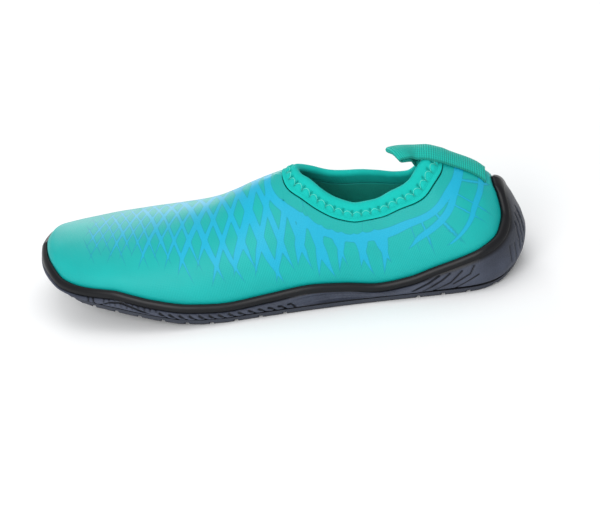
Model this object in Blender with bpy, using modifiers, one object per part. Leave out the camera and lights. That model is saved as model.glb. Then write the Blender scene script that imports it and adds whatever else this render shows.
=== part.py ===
"""Slip-on water shoe for the left foot: a stretch upper on a cup sole with a high heel cup.

The toe points to -X, the outer (lateral) side faces -Y and +Z is up. The origin is the centre of the
heel's flat tread, on the floor. Lengths are metres. Places along the shoe are shares, 0 at the back of
the heel and 1 at the toe.
"""

import math

import bmesh
import bpy
import numpy as np

# Driving dimensions
LENGTH = 0.268
BALL_WIDTH = 0.092
HEEL_WIDTH = 0.0695
HEEL_SEAT = 0.036
TOE_SPRING = 0.0190
HEEL_BEVEL = 0.004
INSTEP_HEIGHT = 0.0695
HEEL_HEIGHT = 0.0700
HEEL_CUP_HEIGHT = 0.0515
TOE_RIM_HEIGHT = 0.0335
SIDE_RIM_HEIGHT = 0.014
OUTSOLE_THICKNESS = 0.0032
SOLE_THICKNESS = 0.0085
RIM_BAND = 0.0045
RIM_STEP = 0.0009
CUP_WALL = 0.0048
UPPER_WALL = 0.0022
INSOLE_THICKNESS = 0.0042
COLLAR_WIDTH = 0.0088
COLLAR_THICKNESS = 0.0036
COLLAR_PROUD = 0.0009
TAB_WIDTH = 0.0145
TAB_THICKNESS = 0.0013
TAB_LOOP = 0.021
TAB_TUCK = 0.010
GAP = 0.00035
SEAM_GAP = 0.0005
SLOT_WIDTH = 0.0017
SLOT_DEPTH = 0.0012
SLOT_LEAN = 0.0014
TREAD_DEPTH = 0.0018
TREAD_GROOVE_WIDTH = 0.0024
TREAD_CHEVRON = 0.009

# The opening's two ends on the centre line, as shares of the dome's length
OPENING_HEEL = 0.136
OPENING_THROAT = 0.412

# Colours, linear
TEAL = (0.03, 0.55, 0.46, 1.0)
BRIGHT_TEAL = (0.0, 0.62, 0.5, 1.0)
PALE_MINT = (0.42, 0.72, 0.68, 1.0)
CHARCOAL = (0.022, 0.022, 0.028, 1.0)
BLACK = (0.012, 0.012, 0.015, 1.0)

# Edge of the sole at its widest: place, lateral reach, medial reach
SOLE_EDGE = (
    (0.00, 0.00, 0.00),
    (0.02, 0.28 * HEEL_WIDTH, 0.28 * HEEL_WIDTH),
    (0.05, 0.41 * HEEL_WIDTH, 0.41 * HEEL_WIDTH),
    (0.10, 0.49 * HEEL_WIDTH, 0.485 * HEEL_WIDTH),
    (0.16, 0.51 * HEEL_WIDTH, 0.495 * HEEL_WIDTH),
    (0.25, 0.525 * HEEL_WIDTH, 0.465 * HEEL_WIDTH),
    (0.35, 0.41 * BALL_WIDTH, 0.315 * BALL_WIDTH),
    (0.45, 0.435 * BALL_WIDTH, 0.315 * BALL_WIDTH),
    (0.55, 0.466 * BALL_WIDTH, 0.37 * BALL_WIDTH),
    (0.63, 0.497 * BALL_WIDTH, 0.435 * BALL_WIDTH),
    (0.70, 0.51 * BALL_WIDTH, 0.484 * BALL_WIDTH),
    (0.77, 0.495 * BALL_WIDTH, 0.50 * BALL_WIDTH),
    (0.84, 0.455 * BALL_WIDTH, 0.484 * BALL_WIDTH),
    (0.90, 0.40 * BALL_WIDTH, 0.446 * BALL_WIDTH),
    (0.95, 0.31 * BALL_WIDTH, 0.38 * BALL_WIDTH),
    (0.98, 0.195 * BALL_WIDTH, 0.285 * BALL_WIDTH),
    (1.00, -0.04 * BALL_WIDTH, 0.04 * BALL_WIDTH),
)

# Underside above the floor: place, height
UNDERSIDE = (
    (0.00, HEEL_BEVEL),
    (0.03, 0.45 * HEEL_BEVEL),
    (0.07, 0.0),
    (0.61, 0.0),
    (0.68, 0.075 * TOE_SPRING),
    (0.75, 0.28 * TOE_SPRING),
    (0.82, 0.52 * TOE_SPRING),
    (0.89, 0.72 * TOE_SPRING),
    (0.95, 0.87 * TOE_SPRING),
    (1.00, TOE_SPRING),
)

# Top of the rim above the floor: place, lateral height, medial height
RIM_TOP = (
    (0.000, 1.000 * HEEL_CUP_HEIGHT, 1.000 * HEEL_CUP_HEIGHT),
    (0.003, 0.962 * HEEL_CUP_HEIGHT, 0.962 * HEEL_CUP_HEIGHT),
    (0.006, 0.905 * HEEL_CUP_HEIGHT, 0.905 * HEEL_CUP_HEIGHT),
    (0.012, 0.800 * HEEL_CUP_HEIGHT, 0.800 * HEEL_CUP_HEIGHT),
    (0.020, 0.703 * HEEL_CUP_HEIGHT, 0.703 * HEEL_CUP_HEIGHT),
    (0.035, 0.617 * HEEL_CUP_HEIGHT, 0.617 * HEEL_CUP_HEIGHT),
    (0.050, 0.563 * HEEL_CUP_HEIGHT, 0.563 * HEEL_CUP_HEIGHT),
    (0.085, 0.489 * HEEL_CUP_HEIGHT, 0.489 * HEEL_CUP_HEIGHT),
    (0.130, 0.412 * HEEL_CUP_HEIGHT, 0.419 * HEEL_CUP_HEIGHT),
    (0.190, 0.324 * HEEL_CUP_HEIGHT, 0.338 * HEEL_CUP_HEIGHT),
    (0.240, 0.900 * SIDE_RIM_HEIGHT, 1.043 * SIDE_RIM_HEIGHT),
    (0.300, 0.764 * SIDE_RIM_HEIGHT, 0.986 * SIDE_RIM_HEIGHT),
    (0.370, 0.950 * SIDE_RIM_HEIGHT, 1.100 * SIDE_RIM_HEIGHT),
    (0.440, 1.064 * SIDE_RIM_HEIGHT, 1.186 * SIDE_RIM_HEIGHT),
    (0.520, 0.929 * SIDE_RIM_HEIGHT, 1.100 * SIDE_RIM_HEIGHT),
    (0.600, 0.807 * SIDE_RIM_HEIGHT, 0.986 * SIDE_RIM_HEIGHT),
    (0.680, 0.943 * SIDE_RIM_HEIGHT, 1.086 * SIDE_RIM_HEIGHT),
    (0.760, 1.264 * SIDE_RIM_HEIGHT, 1.329 * SIDE_RIM_HEIGHT),
    (0.800, 0.621 * TOE_RIM_HEIGHT, 0.621 * TOE_RIM_HEIGHT),
    (0.840, 0.699 * TOE_RIM_HEIGHT, 0.681 * TOE_RIM_HEIGHT),
    (0.900, 0.719 * TOE_RIM_HEIGHT, 0.716 * TOE_RIM_HEIGHT),
    (0.950, 0.764 * TOE_RIM_HEIGHT, 0.794 * TOE_RIM_HEIGHT),
    (0.980, 0.896 * TOE_RIM_HEIGHT, 0.919 * TOE_RIM_HEIGHT),
    (1.000, TOE_RIM_HEIGHT, TOE_RIM_HEIGHT),
)

# Crest of the last above the floor, along the centre line from the heel cup's edge to the toe's rim
CREST = (
    (0.000, HEEL_CUP_HEIGHT),
    (0.012, 0.779 * HEEL_HEIGHT),
    (0.030, 0.831 * HEEL_HEIGHT),
    (0.070, 0.909 * HEEL_HEIGHT),
    (0.107, 0.966 * HEEL_HEIGHT),
    (0.136, HEEL_HEIGHT),
    (0.184, 1.007 * HEEL_HEIGHT),
    (0.276, 0.979 * HEEL_HEIGHT),
    (0.344, 0.976 * INSTEP_HEIGHT),
    (0.412, INSTEP_HEIGHT),
    (0.448, 0.987 * INSTEP_HEIGHT),
    (0.472, 0.961 * INSTEP_HEIGHT),
    (0.516, 0.895 * INSTEP_HEIGHT),
    (0.564, 0.812 * INSTEP_HEIGHT),
    (0.608, 0.745 * INSTEP_HEIGHT),
    (0.676, 0.681 * INSTEP_HEIGHT),
    (0.744, 0.636 * INSTEP_HEIGHT),
    (0.808, 0.596 * INSTEP_HEIGHT),
    (0.876, 0.567 * INSTEP_HEIGHT),
    (0.930, 1.146 * TOE_RIM_HEIGHT),
    (0.964, 1.122 * TOE_RIM_HEIGHT),
    (0.985, 1.093 * TOE_RIM_HEIGHT),
    (0.996, 1.045 * TOE_RIM_HEIGHT),
    (1.000, TOE_RIM_HEIGHT),
)

# Fullness of the last's sections: place, side bulge past the rim, roundness (2 is an ellipse)
FULLNESS = (
    (0.00, 0.0, 1.9),
    (0.06, 0.0, 1.8),
    (0.14, 0.03 * HEEL_WIDTH, 1.55),
    (0.30, 0.04 * HEEL_WIDTH, 1.5),
    (0.42, 0.04 * BALL_WIDTH, 1.55),
    (0.52, 0.03 * BALL_WIDTH, 1.75),
    (0.70, 0.015 * BALL_WIDTH, 1.95),
    (0.88, 0.0, 2.1),
    (1.00, 0.0, 2.1),
)

# Collar edge below the crest: place from heel to throat, lateral drop, medial drop
COLLAR_DROP = (
    (0.00, 0.0, 0.0),
    (0.04, 0.023 * HEEL_HEIGHT, 0.066 * HEEL_HEIGHT),
    (0.10, 0.071 * HEEL_HEIGHT, 0.171 * HEEL_HEIGHT),
    (0.17, 0.129 * HEEL_HEIGHT, 0.279 * HEEL_HEIGHT),
    (0.24, 0.157 * HEEL_HEIGHT, 0.321 * HEEL_HEIGHT),
    (0.32, 0.174 * HEEL_HEIGHT, 0.303 * HEEL_HEIGHT),
    (0.45, 0.204 * HEEL_HEIGHT, 0.234 * HEEL_HEIGHT),
    (0.58, 0.206 * HEEL_HEIGHT, 0.177 * HEEL_HEIGHT),
    (0.70, 0.167 * HEEL_HEIGHT, 0.151 * HEEL_HEIGHT),
    (0.82, 0.103 * HEEL_HEIGHT, 0.123 * HEEL_HEIGHT),
    (0.92, 0.037 * HEEL_HEIGHT, 0.066 * HEEL_HEIGHT),
    (1.00, 0.0, 0.0),
)

# How far the back of the heel leans forward: height, inset
HEEL_LEAN = (
    (0.0, 0.0),
    (0.40 * HEEL_CUP_HEIGHT, 0.0),
    (0.54 * HEEL_CUP_HEIGHT, 0.0012),
    (0.73 * HEEL_CUP_HEIGHT, 0.0048),
    (0.89 * HEEL_CUP_HEIGHT, 0.0084),
    (1.00 * HEEL_CUP_HEIGHT, 0.0118),
    (1.12 * HEEL_CUP_HEIGHT, 0.0158),
)

# Outer wall of the cup sole, from the tread up: share of the wall's height, inset, more at heel and toe
CUP_WALL_ROWS = (
    (0.00, 0.0012, 0.0028, 0.0036),
    (0.14, 0.0004, 0.0006, 0.0020),
    (0.31, 0.0000, 0.0000, 0.0012),
    (0.55, 0.0004, 0.0000, 0.0004),
    (0.80, 0.0014, -0.0008, -0.0004),
    (1.00, 0.0026, -0.0016, -0.0008),
)

# Smooth band round the rim: share of the band's height, inset, more at heel and toe
RIM_BAND_ROWS = (
    (0.06, 0.0026 - RIM_STEP, -0.0010, -0.0004),
    (0.75, 0.0022, -0.0008, 0.0002),
    (1.00, 0.0032, -0.0004, 0.0008),
)

LATERAL, MEDIAL = 1, 2
SLOT_PLACES, SLOT_COUNT = (0.50, 0.865), 20
CHEVRON_PLACES, CHEVRON_COUNT = (0.075, 0.215), 5
TREAD_GROOVES = (0.085, 0.135, 0.185, 0.235, 0.50, 0.548, 0.596, 0.644, 0.692, 0.74, 0.788, 0.836, 0.884, 0.932)
BLOCK = ((0, 1, 3, 2), (4, 6, 7, 5), (0, 4, 5, 1), (2, 3, 7, 6), (0, 2, 6, 4), (1, 5, 7, 3))
HEEL_END = 0.13
TOE_END = 0.11
RECESS_DEPTH = 0.0042
RECESS_FROM, RECESS_TO = 0.27, 0.52
INNER_DEPTHS = (0.0, 0.25, 0.6, 1.0)


def smooth(rows, column, place):
    """Value of a table's column at each place, by a monotone cubic through the rows.

    Places are first turned into angles, arccos(1 - 2 place), so that a width that leaves zero in step
    with the angle gives a round end.
    """
    table = np.array(rows, float)
    knots = np.arccos(1 - 2 * table[:, 0])
    values = table[:, column]
    at = np.arccos(np.clip(1 - 2 * np.asarray(place, float), -1, 1))
    step = np.diff(knots)
    slope = np.diff(values) / step
    tangent = np.zeros_like(values)
    tangent[0], tangent[-1] = slope[0], slope[-1]
    for i in range(1, len(values) - 1):
        if slope[i - 1] * slope[i] > 0:
            ahead, behind = 2 * step[i] + step[i - 1], step[i] + 2 * step[i - 1]
            tangent[i] = (ahead + behind) / (ahead / slope[i - 1] + behind / slope[i])
    k = np.clip(np.searchsorted(knots, at) - 1, 0, len(step) - 1)
    q = (at - knots[k]) / step[k]
    return (
        values[k] * (1 + 2 * q) * (1 - q) ** 2
        + tangent[k] * step[k] * q * (1 - q) ** 2
        + values[k + 1] * q * q * (3 - 2 * q)
        + tangent[k + 1] * step[k] * q * q * (q - 1)
    )


def ease(x):
    """0 below 0, 1 above 1 and a smooth step between them."""
    x = np.clip(x, 0, 1)
    return x * x * (3 - 2 * x)


def stations(heel_count=12, opening_count=23, front_count=17):
    """Places of the sections, close together at the heel, the toe and both ends of the opening."""
    low, high = opening_ends(COLLAR_WIDTH + SEAM_GAP)
    heel = low * np.linspace(0, 1, heel_count) ** 1.6
    middle = low + (high - low) * (1 - np.cos(np.linspace(0, math.pi, opening_count))) / 2
    front = high + (1 - high) * np.sin(np.linspace(0, math.pi / 2, front_count))
    return np.concatenate([heel, middle[1:], front[1:]])


def blends(place):
    """Shares of the heel's own and the toe's own shape at each place."""
    return 1 - ease(place / HEEL_END), 1 - ease((1 - place) / TOE_END)


def edge_offset(place, flank, inset):
    """Points of the sole's edge moved in by a distance: along from the heel, and reach to the side."""
    turn = np.arccos(np.clip(1 - 2 * place, -1, 1))
    step = 1e-4
    after = np.minimum(turn + step, math.pi)
    before = np.maximum(turn - step, 0.0)
    ahead, behind = (1 - np.cos(after)) / 2, (1 - np.cos(before)) / 2
    along = LENGTH * (ahead - behind)
    out = smooth(SOLE_EDGE, flank, ahead) - smooth(SOLE_EDGE, flank, behind)
    ends = (place <= 0) | (place >= 1)
    along = np.where(ends, 0.0, along)
    size = np.hypot(along, out)
    reach = smooth(SOLE_EDGE, flank, place)
    return LENGTH * place + inset * out / size, reach - inset * along / size


def rim_ring(place, flank, inset, height, heel=0.0, toe=0.0):
    """Points of a ring inside the sole's edge (lateral is -Y). The heel leans forward with height."""
    back, front = blends(place)
    lean = np.interp(height, *np.transpose(HEEL_LEAN))
    distance = inset + back * (heel + lean) + front * toe
    along, reach = edge_offset(place, flank, distance)
    across = -reach if flank == LATERAL else reach
    return np.stack([HEEL_SEAT - along, across, height + 0 * along], -1)


def recess(place):
    """Hollow under the rim at the waist, 0 to 1."""
    middle = (RECESS_FROM + RECESS_TO) / 2
    half = (RECESS_TO - RECESS_FROM) / 2
    return ease(1 - np.abs(place - middle) / half)


def band_foot(place, flank):
    return smooth(RIM_TOP, flank, place) - RIM_BAND


def floor_height(place):
    """Top of the cup's floor, on which upper and insole stand."""
    return smooth(UNDERSIDE, 1, place) + SOLE_THICKNESS * (1 - 0.18 * ease((place - 0.2) / 0.5))


def rim_height(place, flank):
    return smooth(RIM_TOP, flank, place) - 0.12 * RIM_BAND


def dome_base(place, flank):
    """Foot of the upper's dome: just inside the rim, at the rim's top."""
    return rim_ring(place, flank, CUP_WALL + GAP, rim_height(place, flank))


def crest_along(place):
    """Where the crest's points stand, from the heel cup's edge to the toe's rim."""
    ends = dome_base(np.array([0.0, 1.0]), LATERAL)[:, 0]
    return ends[0] + place * (ends[1] - ends[0])


def centre_line(place):
    """Where the crest runs, across the shoe: midway between the two sides."""
    return 0.5 * (dome_base(place, LATERAL)[..., 1] + dome_base(place, MEDIAL)[..., 1])


def dome(place, flank, climb):
    """Outer surface of the upper. climb is 0 at the rim and 1 on the crest."""
    base = dome_base(place, flank)
    bulge = smooth(FULLNESS, 1, place)
    power = 2 / smooth(FULLNESS, 2, place)
    angle = climb * math.pi / 2
    middle = centre_line(place)
    half = base[..., 1] - middle
    width = half * np.cos(angle) ** power
    width = width + np.sign(half) * np.minimum(bulge, 0.1 * np.abs(half)) * np.sin(2 * angle)
    rise = np.sin(angle) ** power
    up = base[..., 2] + (smooth(CREST, 1, place) - base[..., 2]) * rise
    along = base[..., 0] + (crest_along(place) - base[..., 0]) * np.sin(angle)
    return np.stack([along, middle + width, up], -1)


def opening_ends(widening=0.0):
    """The opening's two ends on the crest, as places, widened by a length at each end."""
    ends = crest_along(np.array([0.0, 1.0]))
    dome_length = abs(ends[1] - ends[0])
    return OPENING_HEEL - widening / dome_length, OPENING_THROAT + widening / dome_length


def opening_climb(place, flank, widening=0.0):
    """Climb of the collar edge at each place, or of a line that runs a width below it."""
    low, high = opening_ends(widening)
    share = np.clip((place - low) / (high - low), 0, 1)
    drop = smooth(COLLAR_DROP, flank, share)
    drop = drop + widening * (1 - np.abs(2 * share - 1) ** 4) ** 0.5
    crest = smooth(CREST, 1, place)
    foot = dome_base(place, flank)[..., 2]
    power = 2 / smooth(FULLNESS, 2, place)
    rise = np.clip(1 - drop / (crest - foot), 0.02, 1)
    return np.arcsin(rise ** (1 / power)) * 2 / math.pi


def material(name, colour, roughness):
    made = bpy.data.materials.new(name)
    made.use_nodes = True
    shader = made.node_tree.nodes["Principled BSDF"]
    shader.inputs["Base Color"].default_value = colour
    shader.inputs["Roughness"].default_value = roughness
    shader.inputs["Metallic"].default_value = 0.0
    return made


def grid_faces(rows, columns, start=0, flip=False, wrap=False):
    """Quads of a grid of points, row after row. wrap joins the last column to the first."""
    row, column = np.meshgrid(np.arange(rows - 1), np.arange(columns - (not wrap)), indexing="ij")
    near = row * columns + column
    nxt = row * columns + (column + 1) % columns
    quads = np.stack([near, nxt, nxt + columns, near + columns], -1).reshape(-1, 4) + start
    return (quads[:, ::-1] if flip else quads).tolist()


def mesh_object(name, points, faces, look, collection, weld=2e-5):
    """A named object from points and faces, with doubled points joined and flat slivers taken out."""
    mesh = bpy.data.meshes.new(name)
    mesh.from_pydata([tuple(p) for p in points], [], faces)
    shape = bmesh.new()
    shape.from_mesh(mesh)
    bmesh.ops.remove_doubles(shape, verts=shape.verts, dist=weld)
    bmesh.ops.recalc_face_normals(shape, faces=shape.faces)
    shape.to_mesh(mesh)
    shape.free()
    mesh.materials.append(look)
    made = bpy.data.objects.new(name, mesh)
    collection.objects.link(made)
    return made


def closed_ring(place, ring):
    """One loop of points: lateral side from heel to toe, then medial side back."""
    lateral, medial = ring(place, LATERAL), ring(place, MEDIAL)
    return np.concatenate([lateral, medial[-2:0:-1]])


def ladder(place, start, flip=False):
    """Faces that close a ring by joining its two sides, station by station."""
    count = len(place)
    total = 2 * count - 2
    faces = []
    for i in range(count - 1):
        a, b = i, i + 1
        c, d = (total - b) % total, (total - a) % total
        corner = [a, b, c, d] if len({a, b, c, d}) == 4 else list(dict.fromkeys([a, b, c, d]))
        corner = [start + k for k in corner]
        faces.append(corner[::-1] if flip else corner)
    return faces


def ring_solid(name, rings, look, collection):
    """A closed solid through rings from its underside, up its outside and, where it is hollow, down inside."""
    place = stations()
    loops = [closed_ring(place, ring) for ring in rings]
    points = np.concatenate(loops)
    width = len(loops[0])
    faces = grid_faces(len(loops), width, wrap=True)
    faces += ladder(place, 0, flip=True)
    faces += ladder(place, (len(loops) - 1) * width)
    return mesh_object(name, points, faces, look, collection)


def wall_ring(share, inset, heel, toe, hollow=0.0):
    """Ring on the cup sole's outer wall at a share of its height."""

    def ring(place, flank):
        under = smooth(UNDERSIDE, 1, place) + OUTSOLE_THICKNESS + GAP
        height = under + share * (band_foot(place, flank) - under)
        return rim_ring(place, flank, inset + hollow * RECESS_DEPTH * recess(place), height, heel, toe)

    return ring


def band_ring(share, inset, heel, toe):
    def ring(place, flank):
        return rim_ring(place, flank, inset, band_foot(place, flank) + share * RIM_BAND, heel, toe)

    return ring


def inner_ring(depth, inset, lift=0.0):
    """Ring inside the cup: depth 0 at the rim and 1 on the floor."""

    def ring(place, flank):
        top = rim_height(place, flank)
        height = top + depth * (floor_height(place) + lift - top)
        return rim_ring(place, flank, inset, height)

    return ring


def wall_inset(place, flank, height):
    """Inset of the cup sole's outer wall, with its heel and toe shape, at a height."""
    under = smooth(UNDERSIDE, 1, place) + OUTSOLE_THICKNESS + GAP
    share = (height - under) / (band_foot(place, flank) - under)
    shares, inset, heel, toe = np.transpose(CUP_WALL_ROWS)
    back, front = blends(place)
    side = np.interp(share, shares, inset)
    return side + back * np.interp(share, shares, heel) + front * np.interp(share, shares, toe)


def slot_cutter(name, slots, collection):
    """One cutter of slanted blocks sunk in the side wall: (side, place, low, high, lean, width, depth)."""
    points, faces = [], []
    for flank, place, low, high, lean, width, depth in slots:
        start = len(points)
        for height, shift in ((low, 0.0), (high, lean)):
            for edge in (-0.5, 0.5):
                at = np.array([place + (shift + edge * width) / LENGTH])
                inset = wall_inset(at, flank, height)
                for sink in (-0.003, depth):
                    points.append(rim_ring(at, flank, inset + sink, height)[0])
        faces += [[start + k for k in quad] for quad in BLOCK]
    made = mesh_object(name, points, faces, bpy.data.materials["charcoal_rubber"], collection, 1e-7)
    made.hide_render = True
    made.display_type = "WIRE"
    return made


def side_slots():
    """Short slots along the forefoot and long slanted grooves at the heel, on both sides."""
    slots = []
    for flank in (LATERAL, MEDIAL):
        for place in np.linspace(*SLOT_PLACES, SLOT_COUNT):
            floor = float(smooth(UNDERSIDE, 1, place)) + OUTSOLE_THICKNESS
            wall = float(band_foot(place, flank)) - floor
            slots.append((flank, place, floor + 0.14 * wall, floor + 0.62 * wall, SLOT_LEAN, SLOT_WIDTH, SLOT_DEPTH))
        for place in np.linspace(*CHEVRON_PLACES, CHEVRON_COUNT):
            floor = float(smooth(UNDERSIDE, 1, place)) + OUTSOLE_THICKNESS
            wall = float(band_foot(place, flank)) - floor
            slots.append((flank, place, floor + 0.22 * wall, floor + 0.80 * wall, -0.0125, SLOT_WIDTH, SLOT_DEPTH))
    return slots


def cut(target, cutter):
    taken = target.modifiers.new("cut", "BOOLEAN")
    taken.operation = "DIFFERENCE"
    taken.solver = "EXACT"
    taken.object = cutter


def build_midsole(look, collection):
    """Cup sole: side wall, smooth rim band, heel cup, toe bumper and the floor inside."""
    hollows = (0.0, 0.8, 1.0, 1.0, 0.3, 0.0)
    rings = [wall_ring(*row, hollow) for row, hollow in zip(CUP_WALL_ROWS, hollows)]
    rings += [band_ring(*row) for row in RIM_BAND_ROWS]
    rings += [inner_ring(depth, CUP_WALL) for depth in INNER_DEPTHS]
    made = ring_solid("midsole", rings, look, collection)
    cut(made, slot_cutter("side_slot_cutter", side_slots(), collection))
    return made


def tread_cutter(collection):
    """Chevron grooves across the tread, one ribbon each, running out at both sides."""
    points, faces = [], []
    reach = np.linspace(-0.62, 0.62, 5) * BALL_WIDTH
    for place in TREAD_GROOVES:
        start = len(points)
        for across in reach:
            bend = TREAD_CHEVRON * (1 - abs(across) / (0.5 * BALL_WIDTH))
            for along in (-0.5, 0.5):
                at = place - (bend + along * TREAD_GROOVE_WIDTH) / LENGTH
                roof = float(smooth(UNDERSIDE, 1, at)) + TREAD_DEPTH
                for height in (roof - 0.009, roof):
                    points.append((HEEL_SEAT - at * LENGTH, across, height))
        for i in range(len(reach) - 1):
            a = start + 4 * i
            for near, far in ((0, 1), (1, 3), (3, 2), (2, 0)):
                faces.append([a + near, a + far, a + far + 4, a + near + 4])
        last = start + 4 * (len(reach) - 1)
        faces += [[start, start + 2, start + 3, start + 1], [last, last + 1, last + 3, last + 2]]
    made = mesh_object("tread_cutter", points, faces, bpy.data.materials["black_rubber"], collection, 1e-7)
    made.hide_render = True
    made.display_type = "WIRE"
    return made


def build_outsole(look, collection):
    """Tread layer under the cup sole, with chevron grooves between its lugs."""

    def layer(share, inset, heel, toe):
        def ring(place, flank):
            height = smooth(UNDERSIDE, 1, place) + share * OUTSOLE_THICKNESS
            return rim_ring(place, flank, inset, height, heel, toe)

        return ring

    rings = [
        layer(0.0, 0.0022, 0.0048, 0.0052),
        layer(0.35, 0.0012, 0.0034, 0.0042),
        layer(1.0, 0.0010, 0.0028, 0.0036),
    ]
    made = ring_solid("outsole", rings, look, collection)
    cut(made, tread_cutter(collection))
    return made


def build_insole(look, collection):
    """Removable footbed, standing on the cup's floor inside the upper."""
    clear = CUP_WALL + UPPER_WALL + 4 * GAP

    def layer(share, side):
        def ring(place, flank):
            height = floor_height(place) + GAP + share * INSOLE_THICKNESS
            return rim_ring(place, flank, clear + side, height)

        return ring

    rings = [layer(0.0, 0.0010), layer(0.25, 0.0002), layer(0.75, 0.0002), layer(1.0, 0.0012)]
    return ring_solid("insole", rings, look, collection)


def build_upper(look, collection, rows_dome=9):
    """Stretch upper: one wall from the cup's floor over the foot to the collar seam."""
    place = stations()
    seam = COLLAR_WIDTH + SEAM_GAP
    low, high = opening_ends(seam)
    points, faces = [], []
    for flank in (LATERAL, MEDIAL):
        rows = [inner_ring(depth, CUP_WALL + GAP, GAP)(place, flank) for depth in INNER_DEPTHS[:0:-1]]
        top_climb = np.where((place > low) & (place < high), opening_climb(place, flank, seam), 1.0)
        rows += [dome(place, flank, share * top_climb) for share in np.linspace(0, 1, rows_dome)]
        start = sum(len(p) for p in points)
        points.append(np.array(rows).reshape(-1, 3))
        faces += grid_faces(len(rows), len(place), start, flip=flank == MEDIAL)
    made = mesh_object("upper", np.concatenate(points), faces, look, collection)
    wall = made.modifiers.new("wall", "SOLIDIFY")
    wall.thickness = UPPER_WALL
    wall.offset = -1
    return made


def collar_path(count):
    """Places and climbs round the collar edge and its seam, heel first, along the lateral side."""
    turn = np.linspace(0, 2 * math.pi, count, endpoint=False)
    share = (1 - np.cos(turn)) / 2
    flank = np.where(turn < math.pi, LATERAL, MEDIAL)
    return share, flank


def collar_points(count, across):
    """Points on the dome between the collar edge (0) and the seam (1), round the opening."""
    share, flank = collar_path(count)
    widening = across * COLLAR_WIDTH
    low, high = opening_ends(widening)
    place = low + share * (high - low)
    found = np.zeros((count, 3))
    for side in (LATERAL, MEDIAL):
        on = flank == side
        found[on] = dome(place[on], side, opening_climb(place[on], side, widening))
    return found


def build_collar(look, collection, count=44):
    """Padded collar binding: a rounded strip round the opening."""
    outer = COLLAR_PROUD
    inner = COLLAR_PROUD - COLLAR_THICKNESS
    section = (
        (0.00, 0.55 * outer + 0.45 * inner),
        (0.04, 0.90 * outer + 0.10 * inner),
        (0.16, outer),
        (0.50, outer),
        (0.84, outer),
        (1.00, 0.75 * outer + 0.25 * inner),
        (1.00, 0.25 * outer + 0.75 * inner),
        (0.84, inner),
        (0.50, inner),
        (0.12, inner),
    )
    rings = []
    for level, depth in section:
        skin = collar_points(count, level)
        below = collar_points(count, min(1.0, level + 0.25))
        above = collar_points(count, max(0.0, level - 0.25))
        along = np.roll(skin, -1, 0) - np.roll(skin, 1, 0)
        out = np.cross(along, below - above)
        out /= np.linalg.norm(out, axis=1)[:, None]
        rings.append(skin + out * depth)
    points = np.concatenate(rings)
    faces = grid_faces(len(rings), count, wrap=True)
    last = (len(rings) - 1) * count
    for i in range(count):
        j = (i + 1) % count
        faces.append([last + i, last + j, j, i])
    return mesh_object("collar", points, faces, look, collection)


def dome_height(along, across):
    """Height of the last at points along the shoe and across it, near the crest."""
    ends = crest_along(np.array([0.0, 1.0]))
    place = (along - ends[0]) / (ends[1] - ends[0])
    climbs = np.linspace(0.45, 1.0, 90)
    heights = np.zeros_like(along)
    for i, (share, side) in enumerate(zip(place, across)):
        flank = LATERAL if side < 0 else MEDIAL
        line = dome(np.full(90, share), flank, climbs)
        out = np.abs(line[::-1, 1] - line[-1, 1])
        heights[i] = np.interp(abs(side), out, line[::-1, 2])
    return heights


def tab_path():
    """Centre line of the pull tab's strip: along the shoe, lift over the last, share of the last's curve."""
    low, _ = opening_ends()
    start = crest_along(np.array([0.055]))[0]
    seam = crest_along(np.array([opening_ends(COLLAR_WIDTH)[0]]))[0]
    edge = crest_along(np.array([low]))[0]
    tip = edge - TAB_LOOP
    upper = TAB_THICKNESS / 2 + 1.5 * GAP
    top = COLLAR_PROUD + TAB_THICKNESS / 2 + 2 * GAP
    under = COLLAR_PROUD - COLLAR_THICKNESS - TAB_THICKNESS / 2 - 2 * GAP
    bend = 0.85 * TAB_THICKNESS
    rows = [(start, upper, 1.0)]
    rows += [(start + (seam - start) * k, upper, 1.0) for k in (0.2, 0.4, 0.6, 0.8)]
    rows += [(seam + 0.0012, upper + 0.1 * GAP, 1.0), (seam - 0.0008, top, 1.0)]
    rows += [(seam + (edge - seam) * 0.55, top, 1.0), (edge + 0.001, top, 0.9)]
    rows += [(edge - 0.35 * TAB_LOOP, top - 0.0004, 0.7), (edge - 0.7 * TAB_LOOP, top - 0.0008, 0.55)]
    rows += [(tip + bend, top - 0.0011, 0.5)]
    for turn in (30, 60, 90, 120, 150, 180):
        angle = math.radians(turn)
        rows.append((tip + bend - bend * math.sin(angle), top - 0.0011 - bend * (1 - math.cos(angle)), 0.5))
    rows += [(edge - 0.6 * TAB_LOOP, top - 0.0011 - 2.3 * bend, 0.6)]
    rows += [(edge - 0.25 * TAB_LOOP, under - 0.0004, 0.8), (edge, under, 0.9)]
    rows += [(edge + TAB_TUCK * 0.5, under, 1.0), (edge + TAB_TUCK * 0.9, under, 1.0)]
    return np.array(rows)


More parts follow.
